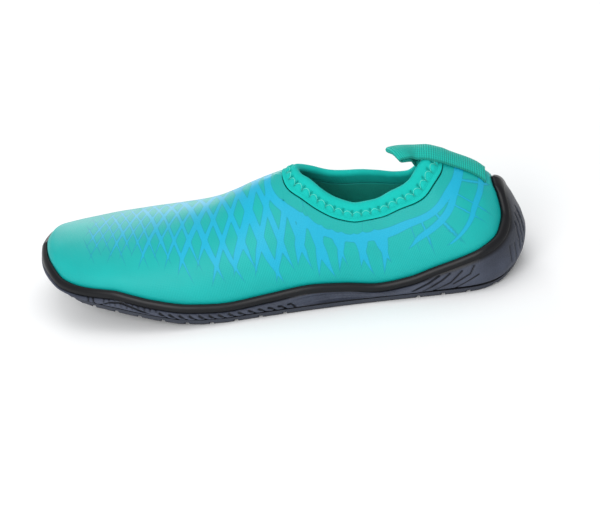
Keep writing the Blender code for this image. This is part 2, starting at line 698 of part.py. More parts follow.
def build_tab(look, collection):
    """Webbing pull tab: up the back seam, over the collar and folded into a flat loop."""
    path = tab_path()
    reach = np.linspace(-0.5, 0.5, 7) * TAB_WIDTH
    rows = []
    along, lift, curve = path.T
    crest = dome_height(along, np.zeros_like(along))
    for side in reach:
        at = np.full(len(path), side)
        height = crest + (dome_height(along, at) - crest) * curve
        slope_along = (dome_height(along + 0.002, at) - dome_height(along - 0.002, at)) / 0.004
        slope_across = (dome_height(along, at + 0.002) - dome_height(along, at - 0.002)) / 0.004 * curve
        size = np.sqrt(1 + slope_along**2 + slope_across**2)
        rows.append(
            np.stack(
                [along - slope_along / size * lift, at - slope_across / size * lift, height + lift / size],
                -1,
            )
        )
    skin = np.array(rows)
    run = np.gradient(skin, axis=1)
    cross = np.gradient(skin, axis=0)
    out = np.cross(cross, run)
    out /= np.linalg.norm(out, axis=2)[..., None]
    if out[0, 0, 2] < 0:
        out = -out
    count, length = skin.shape[:2]
    outer = (skin + out * TAB_THICKNESS / 2).reshape(-1, 3)
    inner = (skin - out * TAB_THICKNESS / 2).reshape(-1, 3)
    faces = grid_faces(count, length) + grid_faces(count, length, count * length, flip=True)
    total = count * length
    border = [k for k in range(length)]
    border += [(k + 1) * length - 1 for k in range(1, count)]
    border += [(count - 1) * length + k for k in range(length - 2, -1, -1)]
    border += [k * length for k in range(count - 2, 0, -1)]
    for a, b in zip(border, border[1:] + border[:1]):
        faces.append([b, a, total + a, total + b])
    return mesh_object("pull_tab", np.concatenate([outer, inner]), faces, look, collection)


def main():
    for old in list(bpy.data.objects):
        bpy.data.objects.remove(old)
    shoe = bpy.data.collections.new("water_shoe")
    bpy.context.scene.collection.children.link(shoe)
    rubber = material("charcoal_rubber", CHARCOAL, 0.55)
    tread = material("black_rubber", BLACK, 0.6)
    stretch = material("teal_stretch_fabric", TEAL, 0.7)
    binding = material("bright_teal_binding", BRIGHT_TEAL, 0.65)
    foam = material("pale_mint_foam", PALE_MINT, 0.8)
    build_outsole(tread, shoe)
    build_midsole(rubber, shoe)
    build_upper(stretch, shoe)
    build_collar(binding, shoe)
    build_insole(foam, shoe)
    build_tab(binding, shoe)


main()
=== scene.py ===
# %% [markdown]
# # A slip-on water shoe
#
# This lesson dresses the solid model of a left water shoe: a stretch upper with a printed lattice,
# a puckered collar binding, a webbing pull tab, a foam footbed and a rubber cup sole. The solid model
# is the frame. Each visible piece is then made again as a fine surface in the same place, because cloth
# and moulded rubber need more points than a solid model carries.

import math

import bmesh
import bpy
import numpy as np
from mathutils import Matrix, Vector


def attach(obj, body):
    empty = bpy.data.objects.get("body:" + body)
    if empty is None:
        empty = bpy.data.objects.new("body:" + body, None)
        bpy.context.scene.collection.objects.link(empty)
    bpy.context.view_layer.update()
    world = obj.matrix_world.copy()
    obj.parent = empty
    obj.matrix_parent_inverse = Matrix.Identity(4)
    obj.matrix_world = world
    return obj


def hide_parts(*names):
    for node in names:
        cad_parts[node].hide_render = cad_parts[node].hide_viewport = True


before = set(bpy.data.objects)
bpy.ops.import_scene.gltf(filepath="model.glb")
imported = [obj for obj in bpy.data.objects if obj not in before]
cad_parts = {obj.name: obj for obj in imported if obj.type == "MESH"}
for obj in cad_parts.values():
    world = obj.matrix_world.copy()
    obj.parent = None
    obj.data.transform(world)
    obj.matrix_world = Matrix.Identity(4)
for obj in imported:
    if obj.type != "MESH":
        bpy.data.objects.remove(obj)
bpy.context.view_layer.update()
print("pieces of the solid model:", sorted(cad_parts))

# %% [markdown]
# ## The last, in numbers
#
# A shoe is built round a last, a wooden or plastic foot. Its shape could be sculpted, but a shoemaker
# describes it by a few curves: the sole's edge seen from above, the height of the rim, the ridge line
# and how full the sides are. Here each curve is a short table. The first column is the place along the
# shoe, 0 at the heel and 1 at the toe, and the others are millimetres, outer side first. A comment
# stands above each table that counts otherwise.

# %% Curves of the shoe in millimetres
LENGTH = 268.0
HEEL_SEAT = 36.0
SOLE_THICKNESS = 8.5
TREAD_THICKNESS = 3.2
RIM_BAND = 4.5
CUP_WALL = 4.8
UPPER_WALL = 2.2
INSOLE_THICKNESS = 4.2
COLLAR_WIDTH = 8.8
COLLAR_THICKNESS = 3.6
COLLAR_PROUD = 0.9
TAB_WIDTH = 14.5
TAB_THICKNESS = 1.3
TAB_LOOP = 21.0
TAB_TUCK = 10.0
GAP = 0.35
SEAM_GAP = 0.5
OUTER, INNER = 1, 2

SOLE_EDGE = (
    (0, 0, 0), (0.02, 19.46, 19.46), (0.05, 28.5, 28.5), (0.1, 34.05, 33.71),
    (0.16, 35.45, 34.4), (0.25, 36.49, 32.32), (0.35, 37.72, 28.98), (0.45, 40.02, 28.98),
    (0.55, 42.87, 34.04), (0.63, 45.72, 40.02), (0.7, 46.92, 44.53), (0.77, 45.54, 46),
    (0.84, 41.86, 44.53), (0.9, 36.8, 41.03), (0.95, 28.52, 34.96), (0.98, 17.94, 26.22),
    (1, -3.68, 3.68),
)
UNDERSIDE = (
    (0, 4), (0.03, 1.8), (0.07, 0), (0.61, 0), (0.68, 1.42), (0.75, 5.32), (0.82, 9.88),
    (0.89, 13.68), (0.95, 16.53), (1, 19),
)
RIM_TOP = (
    (0, 51.5, 51.5), (0.003, 49.54, 49.54), (0.006, 46.61, 46.61), (0.012, 41.2, 41.2),
    (0.02, 36.2, 36.2), (0.035, 31.78, 31.78), (0.05, 28.99, 28.99), (0.085, 25.18, 25.18),
    (0.13, 21.22, 21.58), (0.19, 16.69, 17.41), (0.24, 12.6, 14.6), (0.3, 10.7, 13.8),
    (0.37, 13.3, 15.4), (0.44, 14.9, 16.6), (0.52, 13.01, 15.4), (0.6, 11.3, 13.8),
    (0.68, 13.2, 15.2), (0.76, 17.7, 18.61), (0.8, 20.8, 20.8), (0.84, 23.42, 22.81),
    (0.9, 24.09, 23.99), (0.95, 25.59, 26.6), (0.98, 30.02, 30.79), (1, 33.5, 33.5),
)
RIDGE = (
    (0, 51.5), (0.012, 54.53), (0.03, 58.17), (0.07, 63.63), (0.107, 67.62), (0.136, 70),
    (0.184, 70.49), (0.276, 68.53), (0.344, 67.83), (0.412, 69.5), (0.448, 68.6),
    (0.472, 66.79), (0.516, 62.2), (0.564, 56.43), (0.608, 51.78), (0.676, 47.33),
    (0.744, 44.2), (0.808, 41.42), (0.876, 39.41), (0.93, 38.39), (0.964, 37.59),
    (0.985, 36.62), (0.996, 35.01), (1, 33.5),
)
# place, the side's bulge, the power of its superellipse
FULLNESS = (
    (0, 0, 1.9), (0.06, 0, 1.8), (0.14, 2.08, 1.55), (0.3, 2.78, 1.5), (0.42, 3.68, 1.55),
    (0.52, 2.76, 1.75), (0.7, 1.38, 1.95), (0.88, 0, 2.1), (1, 0, 2.1),
)
# share of the opening's length, drop of its edge below the ridge on each side
COLLAR_DROP = (
    (0, 0, 0), (0.04, 1.61, 4.62), (0.1, 4.97, 11.97), (0.17, 9.03, 19.53),
    (0.24, 10.99, 22.47), (0.32, 12.18, 21.21), (0.45, 14.28, 16.38), (0.58, 14.42, 12.39),
    (0.7, 11.69, 10.57), (0.82, 7.21, 8.61), (0.92, 2.59, 4.62), (1, 0, 0),
)
# height, how far the heel's rings lean forward there
HEEL_LEAN = ((0, 0), (20.6, 0), (27.81, 1.2), (37.59, 4.8), (45.84, 8.4), (51.5, 11.8), (57.68, 15.8))
OPENING_HEEL, OPENING_THROAT = 0.136, 0.412
HEEL_END, TOE_END = 0.13, 0.11
RIM_OVERLAP, FRONT_THINNING = 0.12, 0.18
print("curves:", len(SOLE_EDGE), "stations on the edge,", len(RIDGE), "on the ridge")

# %% [markdown]
# ## From a table to a smooth line
#
# A polyline through the rows would show corners, and an ordinary spline would swing past them. A
# monotone cubic keeps to the values and never overshoots. Along the shoe the places are first turned
# into angles, as round a circle, so that a width that starts at nothing gives a round heel and toe.


# %% Smooth lines through the rows
def line_through(knots, values, at):
    """Monotone cubic: each slope is the harmonic mean of its neighbours', and 0 at a turning point."""
    knots, values = np.asarray(knots, float), np.asarray(values, float)
    step = np.diff(knots)
    slope = np.diff(values) / step
    ahead = 2 * step[1:] + step[:-1]
    behind = step[1:] + 2 * step[:-1]
    turning = slope[:-1] * slope[1:] <= 0
    safe = np.where(turning, 1.0, slope[:-1]), np.where(turning, 1.0, slope[1:])
    middle = np.where(turning, 0.0, (ahead + behind) / (ahead / safe[0] + behind / safe[1]))
    tangent = np.concatenate([slope[:1], middle, slope[-1:]])
    at = np.clip(at, knots[0], knots[-1])
    k = np.clip(np.searchsorted(knots, at) - 1, 0, len(step) - 1)
    q = (at - knots[k]) / step[k]
    start = values[k] * (1 + 2 * q) * (1 - q) ** 2 + tangent[k] * step[k] * q * (1 - q) ** 2
    end = values[k + 1] * q * q * (3 - 2 * q) + tangent[k + 1] * step[k] * q * q * (q - 1)
    return start + end


def turned(place):
    """Place 0 to 1 as an angle from 0 to a half turn: arccos of 1 minus twice the place."""
    return np.arccos(np.clip(1 - 2 * np.asarray(place, float), -1, 1))


def along(rows, column, place):
    """Value of a table's column at each place."""
    table = np.array(rows, float)
    return line_through(turned(table[:, 0]), table[:, column], turned(place))


def straight(rows, at):
    """Value of a table of two columns, with straight lines between its rows."""
    return np.interp(at, *np.transpose(rows))


def ease(x):
    """0 below 0, 1 above 1, and 3x2 - 2x3 between them."""
    x = np.clip(x, 0, 1)
    return x * x * (3 - 2 * x)


def bunched(count):
    """Places from 0 to 1, close together at both ends: half of 1 minus the cosine."""
    return (1 - np.cos(np.linspace(0, math.pi, count))) / 2


print("ridge at the throat:", round(float(along(RIDGE, 1, OPENING_THROAT)), 1), "mm")

# %% [markdown]
# ## Rings and the dome
#
# The sole's wall is a set of rings: the sole's edge moved inwards by a distance, at a height. The
# heel's rings lean forward as they rise. The upper is a dome from the rim to the ridge whose cross
# section is a superellipse, between an ellipse and a tent, so one number makes it fuller or leaner.


# %% The shoe's surfaces
def edge_offset(place, flank, inset):
    """A point on the edge, moved along the edge's normal in plan by the inset."""
    turn, step = turned(place), 1e-4
    after = (1 - np.cos(np.minimum(turn + step, math.pi))) / 2
    before = (1 - np.cos(np.maximum(turn - step, 0.0))) / 2
    run = LENGTH * (after - before)
    out = along(SOLE_EDGE, flank, after) - along(SOLE_EDGE, flank, before)
    run = np.where((place <= 0) | (place >= 1), 0.0, run)
    size = np.hypot(run, out)
    return LENGTH * place + inset * out / size, along(SOLE_EDGE, flank, place) - inset * run / size


def rim_ring(place, flank, inset, height, heel=0.0, toe=0.0):
    """Ring point: edge moved in by inset, plus the heel's and the toe's own share, at a height."""
    back = 1 - ease(place / HEEL_END)
    front = 1 - ease((1 - place) / TOE_END)
    lean = straight(HEEL_LEAN, height)
    run, reach = edge_offset(place, flank, inset + back * (heel + lean) + front * toe)
    across = -reach if flank == OUTER else reach
    return np.stack(np.broadcast_arrays(HEEL_SEAT - run, across, height), -1)


def band_foot(place, flank):
    return along(RIM_TOP, flank, place) - RIM_BAND


def floor_height(place):
    """Cup floor: the underside plus the sole's thickness, which is less at the front."""
    return along(UNDERSIDE, 1, place) + SOLE_THICKNESS * (1 - FRONT_THINNING * ease((place - 0.2) / 0.5))


def rim_height(place, flank):
    """Where the upper leaves the rim: just below its top."""
    return along(RIM_TOP, flank, place) - RIM_OVERLAP * RIM_BAND


def dome_base(place, flank):
    return rim_ring(place, flank, CUP_WALL + GAP, rim_height(place, flank))


RIDGE_ENDS = dome_base(np.array([0.0, 1.0]), OUTER)[:, 0]
RIDGE_RUN = RIDGE_ENDS[1] - RIDGE_ENDS[0]


def on_ridge(place):
    """Where a place on the ridge line lies along the shoe."""
    return RIDGE_ENDS[0] + place * RIDGE_RUN


def dome(place, flank, climb):
    """Upper's outer face: half width times cos to a power, and rise times sin to the same power."""
    base = dome_base(place, flank)
    facing = dome_base(place, INNER if flank == OUTER else OUTER)
    middle = 0.5 * (base[..., 1] + facing[..., 1])
    power = 2 / along(FULLNESS, 2, place)
    angle = climb * math.pi / 2
    half = base[..., 1] - middle
    bulge = np.sign(half) * np.minimum(along(FULLNESS, 1, place), 0.1 * np.abs(half))
    across = middle + half * np.cos(angle) ** power + bulge * np.sin(2 * angle)
    up = base[..., 2] + (along(RIDGE, 1, place) - base[..., 2]) * np.sin(angle) ** power
    run = base[..., 0] + (on_ridge(place) - base[..., 0]) * np.sin(angle)
    return np.stack(np.broadcast_arrays(run, across, up), -1)


def rounded(rows, column, place, samples=481, window=43):
    """A table's value averaged under a bell 9 % of the run wide, so that no turn is sharp."""
    run = np.linspace(0, 1, samples)
    values = along(rows, column, run)
    weights, half = np.hanning(window), window // 2
    before = 2 * values[0] - values[half:0:-1]
    after = 2 * values[-1] - values[-2 : -2 - half : -1]
    padded = np.concatenate([before, values, after])
    return np.interp(place, run, np.convolve(padded, weights / weights.sum(), mode="valid"))


def opening_ends(widening):
    """The opening's ends as places, each moved out by a length."""
    return OPENING_HEEL - widening / abs(RIDGE_RUN), OPENING_THROAT + widening / abs(RIDGE_RUN)


def opening_climb(place, flank, widening):
    """Climb of the collar's edge, or of a line that runs a width below it."""
    low, high = opening_ends(widening)
    share = np.clip((place - low) / (high - low), 0, 1)
    spread = widening * (1 - np.abs(2 * share - 1) ** 4) ** 0.5
    drop = np.maximum(rounded(COLLAR_DROP, flank, share), 0) + spread
    foot = dome_base(place, flank)[..., 2]
    rise = np.clip(1 - drop / (along(RIDGE, 1, place) - foot), 0.02, 1)
    return np.arcsin(rise ** (along(FULLNESS, 2, place) / 2)) * 2 / math.pi


print("dome at the ball:", np.round(dome(np.array([0.7]), OUTER, np.array([0.5]))[0], 1), "mm")

# %% [markdown]
# ## Grids become meshes
#
# Every soft or moulded surface below is a grid of points: rows by columns, worked out as whole arrays.
# One helper turns a grid into a mesh in metres, joins points that fall together, so that seams and
# poles close, and stores whatever the finish needs to know, such as the distance from a seam.


# %% One helper for all grids
def grid_quads(rows, columns, wrap_rows=False, wrap_columns=True):
    """Four corners of each cell; a wrapped direction joins its last line to its first."""
    row = np.arange(rows if wrap_rows else rows - 1)
    column = np.arange(columns if wrap_columns else columns - 1)
    row, column = np.meshgrid(row, column, indexing="ij")
    after, beside = (row + 1) % rows, (column + 1) % columns
    here, there = row * columns, after * columns
    return np.stack([here + column, here + beside, there + beside, there + column], -1).reshape(-1, 4)


def surface(name, points, quads, finishes, facts=None, weld=0.02):
    """A piece from points in millimetres. facts are arrays of one or three numbers a point."""
    mesh = bpy.data.meshes.new(name)
    flat = np.asarray(points, float).reshape(-1, 3) / 1000
    mesh.from_pydata(flat.tolist(), [], np.asarray(quads).tolist())
    for key, values in (facts or {}).items():
        values = np.asarray(values, np.float32)
        triple = values.size == 3 * len(flat)
        stored = mesh.attributes.new(key, "FLOAT_VECTOR" if triple else "FLOAT", "POINT")
        stored.data.foreach_set("vector" if triple else "value", values.ravel())
    shape = bmesh.new()
    shape.from_mesh(mesh)
    bmesh.ops.remove_doubles(shape, verts=shape.verts, dist=weld / 1000)
    bmesh.ops.dissolve_degenerate(shape, edges=shape.edges, dist=1e-7)
    bmesh.ops.recalc_face_normals(shape, faces=shape.faces)
    shape.to_mesh(mesh)
    shape.free()
    mesh.shade_smooth()
    for finish in finishes:
        mesh.materials.append(finish)
    piece = bpy.data.objects.new(name, mesh)
    bpy.context.scene.collection.objects.link(piece)
    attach(piece, "root")
    print(f"{name}: {len(mesh.vertices)} points, {len(mesh.polygons)} faces")
    return piece


def normals(grid, wrap_columns=True):
    """Unit normals of a grid: the cross product of its steps along columns and rows."""
    if wrap_columns:
        beside = np.roll(grid, -1, 1) - np.roll(grid, 1, 1)
    else:
        beside = np.gradient(grid, axis=1)
    out = np.cross(beside, np.gradient(grid, axis=0))
    return out / np.maximum(np.linalg.norm(out, axis=-1, keepdims=True), 1e-9)


def arc_length(points):
    """Length walked along a row of points, starting at 0."""
    steps = np.linalg.norm(np.diff(points, axis=0), axis=-1)
    return np.concatenate([[0.0], np.cumsum(steps)])


def round_the_shoe(ring, place):
    """One closed row: the outer side from heel to toe, then the inner side back."""
    outer, inner = ring(place, OUTER), ring(place, INNER)
    return np.concatenate([outer, inner[-2:0:-1]])


fine = bunched(6000)
edge_walk = {
    flank: arc_length(np.stack(edge_offset(fine, flank, 2.0), -1)) for flank in (OUTER, INNER)
}
print("round the sole's edge:", round(sum(w[-1] for w in edge_walk.values())), "mm")

# %% [markdown]
# ## Finishes: a small tool box
#
# A finish is a tree of nodes. One function adds any node with its settings and its inputs, which may be
# numbers or other nodes, and a few short ones write the kinds that come back often. Colours are written
# as on a web page, and turned to the linear light that the renderer adds up.


# %% Node and colour helpers
def colour(code):
    """sRGB hex to linear: each channel is divided by 12.92 when dark, else ((c + 0.055) / 1.055) ** 2.4."""
    parts = [int(code[i : i + 2], 16) / 255 for i in (1, 3, 5)]
    light = [c / 12.92 if c <= 0.04045 else ((c + 0.055) / 1.055) ** 2.4 for c in parts]
    return (*light, 1.0)


def add(tree, kind, inputs=None, **settings):
    """One node: settings are its own choices, inputs are numbers, nodes or sockets by name or index."""
    made = tree.nodes.new(kind)
    for key, value in settings.items():
        setattr(made, key, value)
    for key, value in (inputs or {}).items():
        if isinstance(value, bpy.types.Node):
            value = value.outputs[0]
        if isinstance(value, bpy.types.NodeSocket):
            tree.links.new(value, made.inputs[key])
        else:
            made.inputs[key].default_value = value
    return made


def maths(tree, operation, *inputs):
    """One step of arithmetic, with its inputs in order."""
    return add(tree, "ShaderNodeMath", dict(enumerate(inputs)), operation=operation)


def mix(tree, share, first, second):
    """Colour between two, each a hex code or another node's colour."""
    ends = [colour(end) if isinstance(end, str) else end for end in (first, second)]
    return add(tree, "ShaderNodeMix", {0: share, 6: ends[0], 7: ends[1]}, data_type="RGBA").outputs[2]


def ramp(tree, value, low, high, start, end, **settings):
    """Values from low to high become values from start to end, and stay there beyond them."""
    return add(tree, "ShaderNodeMapRange", {0: value, 1: low, 2: high, 3: start, 4: end}, **settings)


def noise(tree, where, scale, detail):
    """Soft random clouds, 0 to 1, finer with the scale."""
    return add(tree, "ShaderNodeTexNoise", {"Vector": where, "Scale": scale, "Detail": detail})


def bands(tree, where, scale, direction, **inputs):
    """Bands that repeat across a direction, 0 to 1."""
    inputs = {"Vector": where, "Scale": scale, **inputs}
    return add(tree, "ShaderNodeTexWave", inputs, bands_direction=direction).outputs["Fac"]


def attribute(tree, key, output="Fac"):
    """What the mesh stores at each point: a number, or a vector."""
    return add(tree, "ShaderNodeAttribute", attribute_name=key).outputs[output]


def own_place(tree):
    """Place in the piece's own metres."""
    return add(tree, "ShaderNodeTexCoord").outputs["Object"]


def dye(tree, shader, made):
    """The surface's colour."""
    tree.links.new(made, shader.inputs["Base Color"])


def bump(tree, shader, height, distance, strength):
    """Relief of a distance in metres, without moving any point."""
    made = add(tree, "ShaderNodeBump", {"Height": height, "Distance": distance, "Strength": strength})
    tree.links.new(made.outputs[0], shader.inputs["Normal"])


def new_finish(name, **settings):
    """A finish with one surface shader, and its constant settings by socket name."""
    made = bpy.data.materials.new(name)
    made.use_nodes = True
    tree = made.node_tree
    shader = tree.nodes["Principled BSDF"]
    for key, value in settings.items():
        shader.inputs[key.replace("_", " ")].default_value = value
    return made, tree, shader


print("white in linear light:", colour("#FFFFFF")[:3])

# %% [markdown]
# ## Camera, light and floor
#
# The shoe is seen from its outer side, from well above, with a long lens, as product pictures are.
# The view is turned a little about its own axis. The light is a bright tent: a white surround, a large
# soft box over the shoe, a lower one in front and a small one behind.

# %% Camera
VIEW_AZIMUTH, VIEW_ELEVATION, VIEW_ROLL = map(math.radians, (6.6, 29.0, 8.32))
VIEW_TARGET = Vector((-0.099, 0.0, 0.030))
VIEW_DISTANCE = 1.25
VIEW_LENS, FILM_WIDTH = 136.95, 36
VIEW_SHIFT = 0.0383, -0.0464

right = Vector((math.cos(VIEW_AZIMUTH), math.sin(VIEW_AZIMUTH), 0))
back = Vector((
    math.sin(VIEW_AZIMUTH) * math.cos(VIEW_ELEVATION),
    -math.cos(VIEW_AZIMUTH) * math.cos(VIEW_ELEVATION),
    math.sin(VIEW_ELEVATION),
))
up = back.cross(right)
rolled_right = right * math.cos(VIEW_ROLL) - up * math.sin(VIEW_ROLL)
rolled_up = right * math.sin(VIEW_ROLL) + up * math.cos(VIEW_ROLL)

camera = bpy.data.objects.new("camera", bpy.data.cameras.new("camera"))
camera.data.lens, camera.data.sensor_width = VIEW_LENS, FILM_WIDTH
camera.data.shift_x, camera.data.shift_y = VIEW_SHIFT
camera.data.clip_start = 0.01
place_matrix = Matrix((rolled_right, rolled_up, back)).transposed().to_4x4()
place_matrix.translation = VIEW_TARGET + back * VIEW_DISTANCE
camera.matrix_world = place_matrix
bpy.context.scene.collection.objects.link(camera)
bpy.context.scene.camera = camera
print("camera at", [round(v, 3) for v in camera.location])


# %% Light and floor
def soft_box(name, at, aim, size, watts):
    """A square lamp at a point, turned to face another."""
    lamp = bpy.data.lights.new(name, "AREA")
    lamp.size, lamp.energy = size, watts
    made = bpy.data.objects.new(name, lamp)
    made.location = at
    made.rotation_euler = (Vector(aim) - Vector(at)).to_track_quat("-Z", "Y").to_euler()
    bpy.context.scene.collection.objects.link(made)


SHOE_MIDDLE = (-0.1, 0, 0.03)
TENT_STRENGTH = 0.68
FLOOR_HALF = 4
soft_box("overhead_box", (-0.12, 0.15, 0.85), SHOE_MIDDLE, 0.75, 1.8)
soft_box("front_box", (-0.35, -0.95, 0.55), SHOE_MIDDLE, 0.7, 7.0)
soft_box("far_strip", (-0.30, 0.85, 0.26), (-0.14, 0, 0.05), 0.3, 2.3)

surround = bpy.data.worlds.new("white_tent")
surround.use_nodes = True
surround.node_tree.nodes["Background"].inputs["Color"].default_value = (1, 1, 1, 1)
surround.node_tree.nodes["Background"].inputs["Strength"].default_value = TENT_STRENGTH
bpy.context.scene.world = surround
bpy.context.scene.view_settings.view_transform = "Standard"

card = new_finish("matt_white_card", Base_Color=colour("#F8F9FA"), Roughness=0.9)[0]
floor_mesh = bpy.data.meshes.new("floor")
floor_corners = [(FLOOR_HALF * x, FLOOR_HALF * y, 0) for x, y in ((-1, -1), (1, -1), (1, 1), (-1, 1))]
floor_mesh.from_pydata(floor_corners, [], [(0, 1, 2, 3)])
floor_mesh.materials.append(card)
floor = bpy.data.objects.new("floor", floor_mesh)
bpy.context.scene.collection.objects.link(floor)

# %% [markdown]
# ## Brushed jersey, for the lining
#
# Inside, the foam is faced with a brushed polyester jersey. Brushing lifts short fibres, so it has
# no gloss, a soft edge light and a fine nap. It is a deeper green than the outside.

# %% Finish: brushed jersey lining
lining, tree, shader = new_finish(
    "brushed_jersey_lining", Roughness=0.9, Sheen_Weight=0.06, Sheen_Roughness=0.6, Specular_IOR_Level=0.2
)
where = own_place(tree)
dye(tree, shader, mix(tree, noise(tree, where, 60.0, 2.0), "#0A9084", "#12AC9C"))
bump(tree, shader, noise(tree, where, 1400.0, 3.0), 0.0003, 0.5)
print("lining finish:", len(tree.nodes), "nodes")

# %% [markdown]
# ## Folded binding and its thread
#
# The binding is the same jersey without a print, in a brighter dye, stretched as it is sewn. It keeps
# its dye where a puff is full, and is painted darker where the thread pulls it into a valley: painted
# shade. The thread is textured polyester, drawn a little lighter than the cloth: painted highlight.

# %% Finishes: folded stretch binding and polyester thread
binding, tree, shader = new_finish(
    "folded_stretch_binding", Roughness=0.72, Sheen_Weight=0.02, Sheen_Roughness=0.5, Specular_IOR_Level=0.12
)
cuff_at = attribute(tree, "cuff_place", "Vector")
fresh = mix(tree, noise(tree, cuff_at, 0.12, 2.0), "#0DAEA4", "#14BEB4")
# Painted shade: the binding is darker in the valleys between the puffs.
deep = ramp(tree, attribute(tree, "valley_shade"), 0.25, 1.0, 0.0, 0.6)
dye(tree, shader, mix(tree, deep, fresh, "#0A7F74"))
bump(tree, shader, bands(tree, cuff_at, 0.35, "X", Distortion=1.2, Detail=2.0), 0.00015, 0.6)

binding_thread, tree, shader = new_finish("textured_polyester_thread", Roughness=0.4, Sheen_Weight=0.2)
ply = bands(tree, own_place(tree), 900.0, "DIAGONAL", Distortion=0.5)
# The thread is real; its colour, lighter than the cloth, is in part painted highlight.
dye(tree, shader, mix(tree, ply, "#22C2B0", "#58DCCD"))
bump(tree, shader, ply, 0.0001, 0.6)
print("binding and thread are ready")

# %% [markdown]
# ## Ribbed webbing
#
# The tab is polyester webbing woven on a narrow loom: thick weft makes ribs across it, and the two
# edges are woven tighter and look darker. Such ribs are about 0.7 mm apart, drawn here at 1.1 mm.

# %% Finish: woven polyester webbing
WEFT_PITCH, WARP_PITCH = 1.1, 1.3
webbing, tree, shader = new_finish(
    "woven_polyester_webbing", Roughness=0.66, Sheen_Weight=0.03, Specular_IOR_Level=0.2
)
parts = add(tree, "ShaderNodeSeparateXYZ", {0: attribute(tree, "strip_place", "Vector")})
along_strip, across_strip = parts.outputs[0], parts.outputs[1]
weft = maths(tree, "SINE", maths(tree, "MULTIPLY", along_strip, 2 * math.pi / WEFT_PITCH))
warp = maths(tree, "SINE", maths(tree, "MULTIPLY", across_strip, 2 * math.pi / WARP_PITCH))
ribbed = maths(tree, "MULTIPLY_ADD", warp, 0.35, weft)
woven = mix(tree, ramp(tree, ribbed, -1.3, 1.3, 0.0, 1.0), "#0A9489", "#16C0B0")
selvage = ramp(tree, maths(tree, "ABSOLUTE", across_strip), 5.9, 6.9, 0.0, 0.7)
dye(tree, shader, mix(tree, selvage, woven, "#0B7466"))
bump(tree, shader, ribbed, 0.00016, 0.8)
print("webbing finish:", len(tree.nodes), "nodes")

# %% [markdown]
# ## Pressed foam footbed
#
# The footbed is foam pressed under a thin knitted face, a pale grey-green. Small holes let water
# out. They are 1.2 mm wide, in rows 7 mm apart. The press leaves a shallow spot at the heel, with one
# ring 10 mm round it.

# %% Finish: pressed foam footbed
HOLE_PITCH = 7
HEEL_SPOT, RING_RADIUS, RINGS_WITHIN = 2.0, 10.0, 18.0
foam, tree, shader = new_finish("pressed_foam_footbed", Roughness=0.8, Sheen_Weight=0.15)
in_mm = add(tree, "ShaderNodeMapping", {"Vector": own_place(tree), "Scale": (1000, 1000, 1000)}).outputs[0]
parts = add(tree, "ShaderNodeSeparateXYZ", {0: in_mm})
cells = [maths(tree, "MULTIPLY", parts.outputs[axis], 1 / HOLE_PITCH) for axis in (0, 1)]
in_cell = [maths(tree, "SUBTRACT", maths(tree, "FRACT", cell), 0.5) for cell in cells]
flat = add(tree, "ShaderNodeCombineXYZ", {0: in_cell[0], 1: in_cell[1], 2: 0.0})
apart = add(tree, "ShaderNodeVectorMath", {0: flat}, operation="LENGTH").outputs["Value"]
hole = ramp(tree, apart, 0.075, 0.105, 1.0, 0.0)
heel = add(tree, "ShaderNodeMapping", {"Vector": in_mm, "Location": (-HEEL_SPOT, 0.0, 0.0)})
flat = add(tree, "ShaderNodeVectorMath", {0: heel, 1: (1, 1, 0)}, operation="MULTIPLY")
round_heel = add(tree, "ShaderNodeVectorMath", {0: flat}, operation="LENGTH").outputs["Value"]
ring = ramp(tree, maths(tree, "PINGPONG", round_heel, RING_RADIUS / 2), 0.0, 0.9, 1.0, 0.0)
pressed = maths(tree, "MULTIPLY", ring, maths(tree, "LESS_THAN", round_heel, RINGS_WITHIN))
face = noise(tree, in_mm, 1.6, 3.0)
pale = mix(tree, face, "#7CC9C0", "#A5DFD8")
marked = maths(tree, "MAXIMUM", maths(tree, "MULTIPLY", pressed, 0.35), hole)
dye(tree, shader, mix(tree, marked, pale, "#3E8C84"))
bump(tree, shader, maths(tree, "MULTIPLY_ADD", marked, -2.0, face), 0.0003, 0.6)
print("footbed finish:", len(tree.nodes), "nodes")

# %% [markdown]
# ## The upper
#
# The upper is a sock of stretch jersey with a thin foam back, sewn to the sole inside the rim. It
# could be simulated as cloth over a foot. Its shape is already known, though, so its outer face is the
# dome itself on a fine grid, and Solidify gives it its wall, with the lining as a finish of its own.


# %% The upper's grid
def upper_places():
    """Places close together at the heel, the toe and both ends of the opening."""
    low, high = opening_ends(COLLAR_WIDTH + SEAM_GAP)
    heel = low * np.linspace(0, 1, 46) ** 1.7
    middle = low + (high - low) * bunched(110)
    front = high + (1 - high) * np.sin(np.linspace(0, math.pi / 2, 120))
    return np.concatenate([heel, middle[1:], front[1:]])


def inner_wall(place, flank, depth):
    """Upper's foot inside the cup: depth 0 at the rim, 1 on the cup's floor."""
    top = rim_height(place, flank)
    height = top + depth * (floor_height(place) + GAP - top)
    return rim_ring(place, flank, CUP_WALL + GAP, height)


place = upper_places()
low, high = opening_ends(COLLAR_WIDTH + SEAM_GAP)
UPPER_ROWS = 66
FOOT_DEPTHS = (1.0, 0.8, 0.6, 0.4, 0.2)


def collar_skin(count, across):
    """Points on the dome between the collar's edge (0) and its seam (1), all round the opening."""
    turn = np.linspace(0, 2 * math.pi, count, endpoint=False)
    share = (1 - np.cos(turn)) / 2
    low, high = opening_ends(across * COLLAR_WIDTH)
    place = low + share * (high - low)
    found = np.zeros((count, 3))
    for flank, on in ((OUTER, turn < math.pi), (INNER, turn >= math.pi)):
        climb = opening_climb(place[on], flank, across * COLLAR_WIDTH)
        found[on] = dome(place[on], flank, climb)
    return found


def nearest_on(curve, grid):
    """For each grid point the distance to a closed curve, and how far round the curve that is."""
    round_it = arc_length(curve)
    distance, walk = np.zeros(grid.shape[:2]), np.zeros(grid.shape[:2])
    for k, row in enumerate(grid):
        apart = np.linalg.norm(row[:, None] - curve[None], axis=-1)
        best = apart.argmin(1)
        distance[k], walk[k] = apart[np.arange(len(row)), best], round_it[best]
    return distance, walk


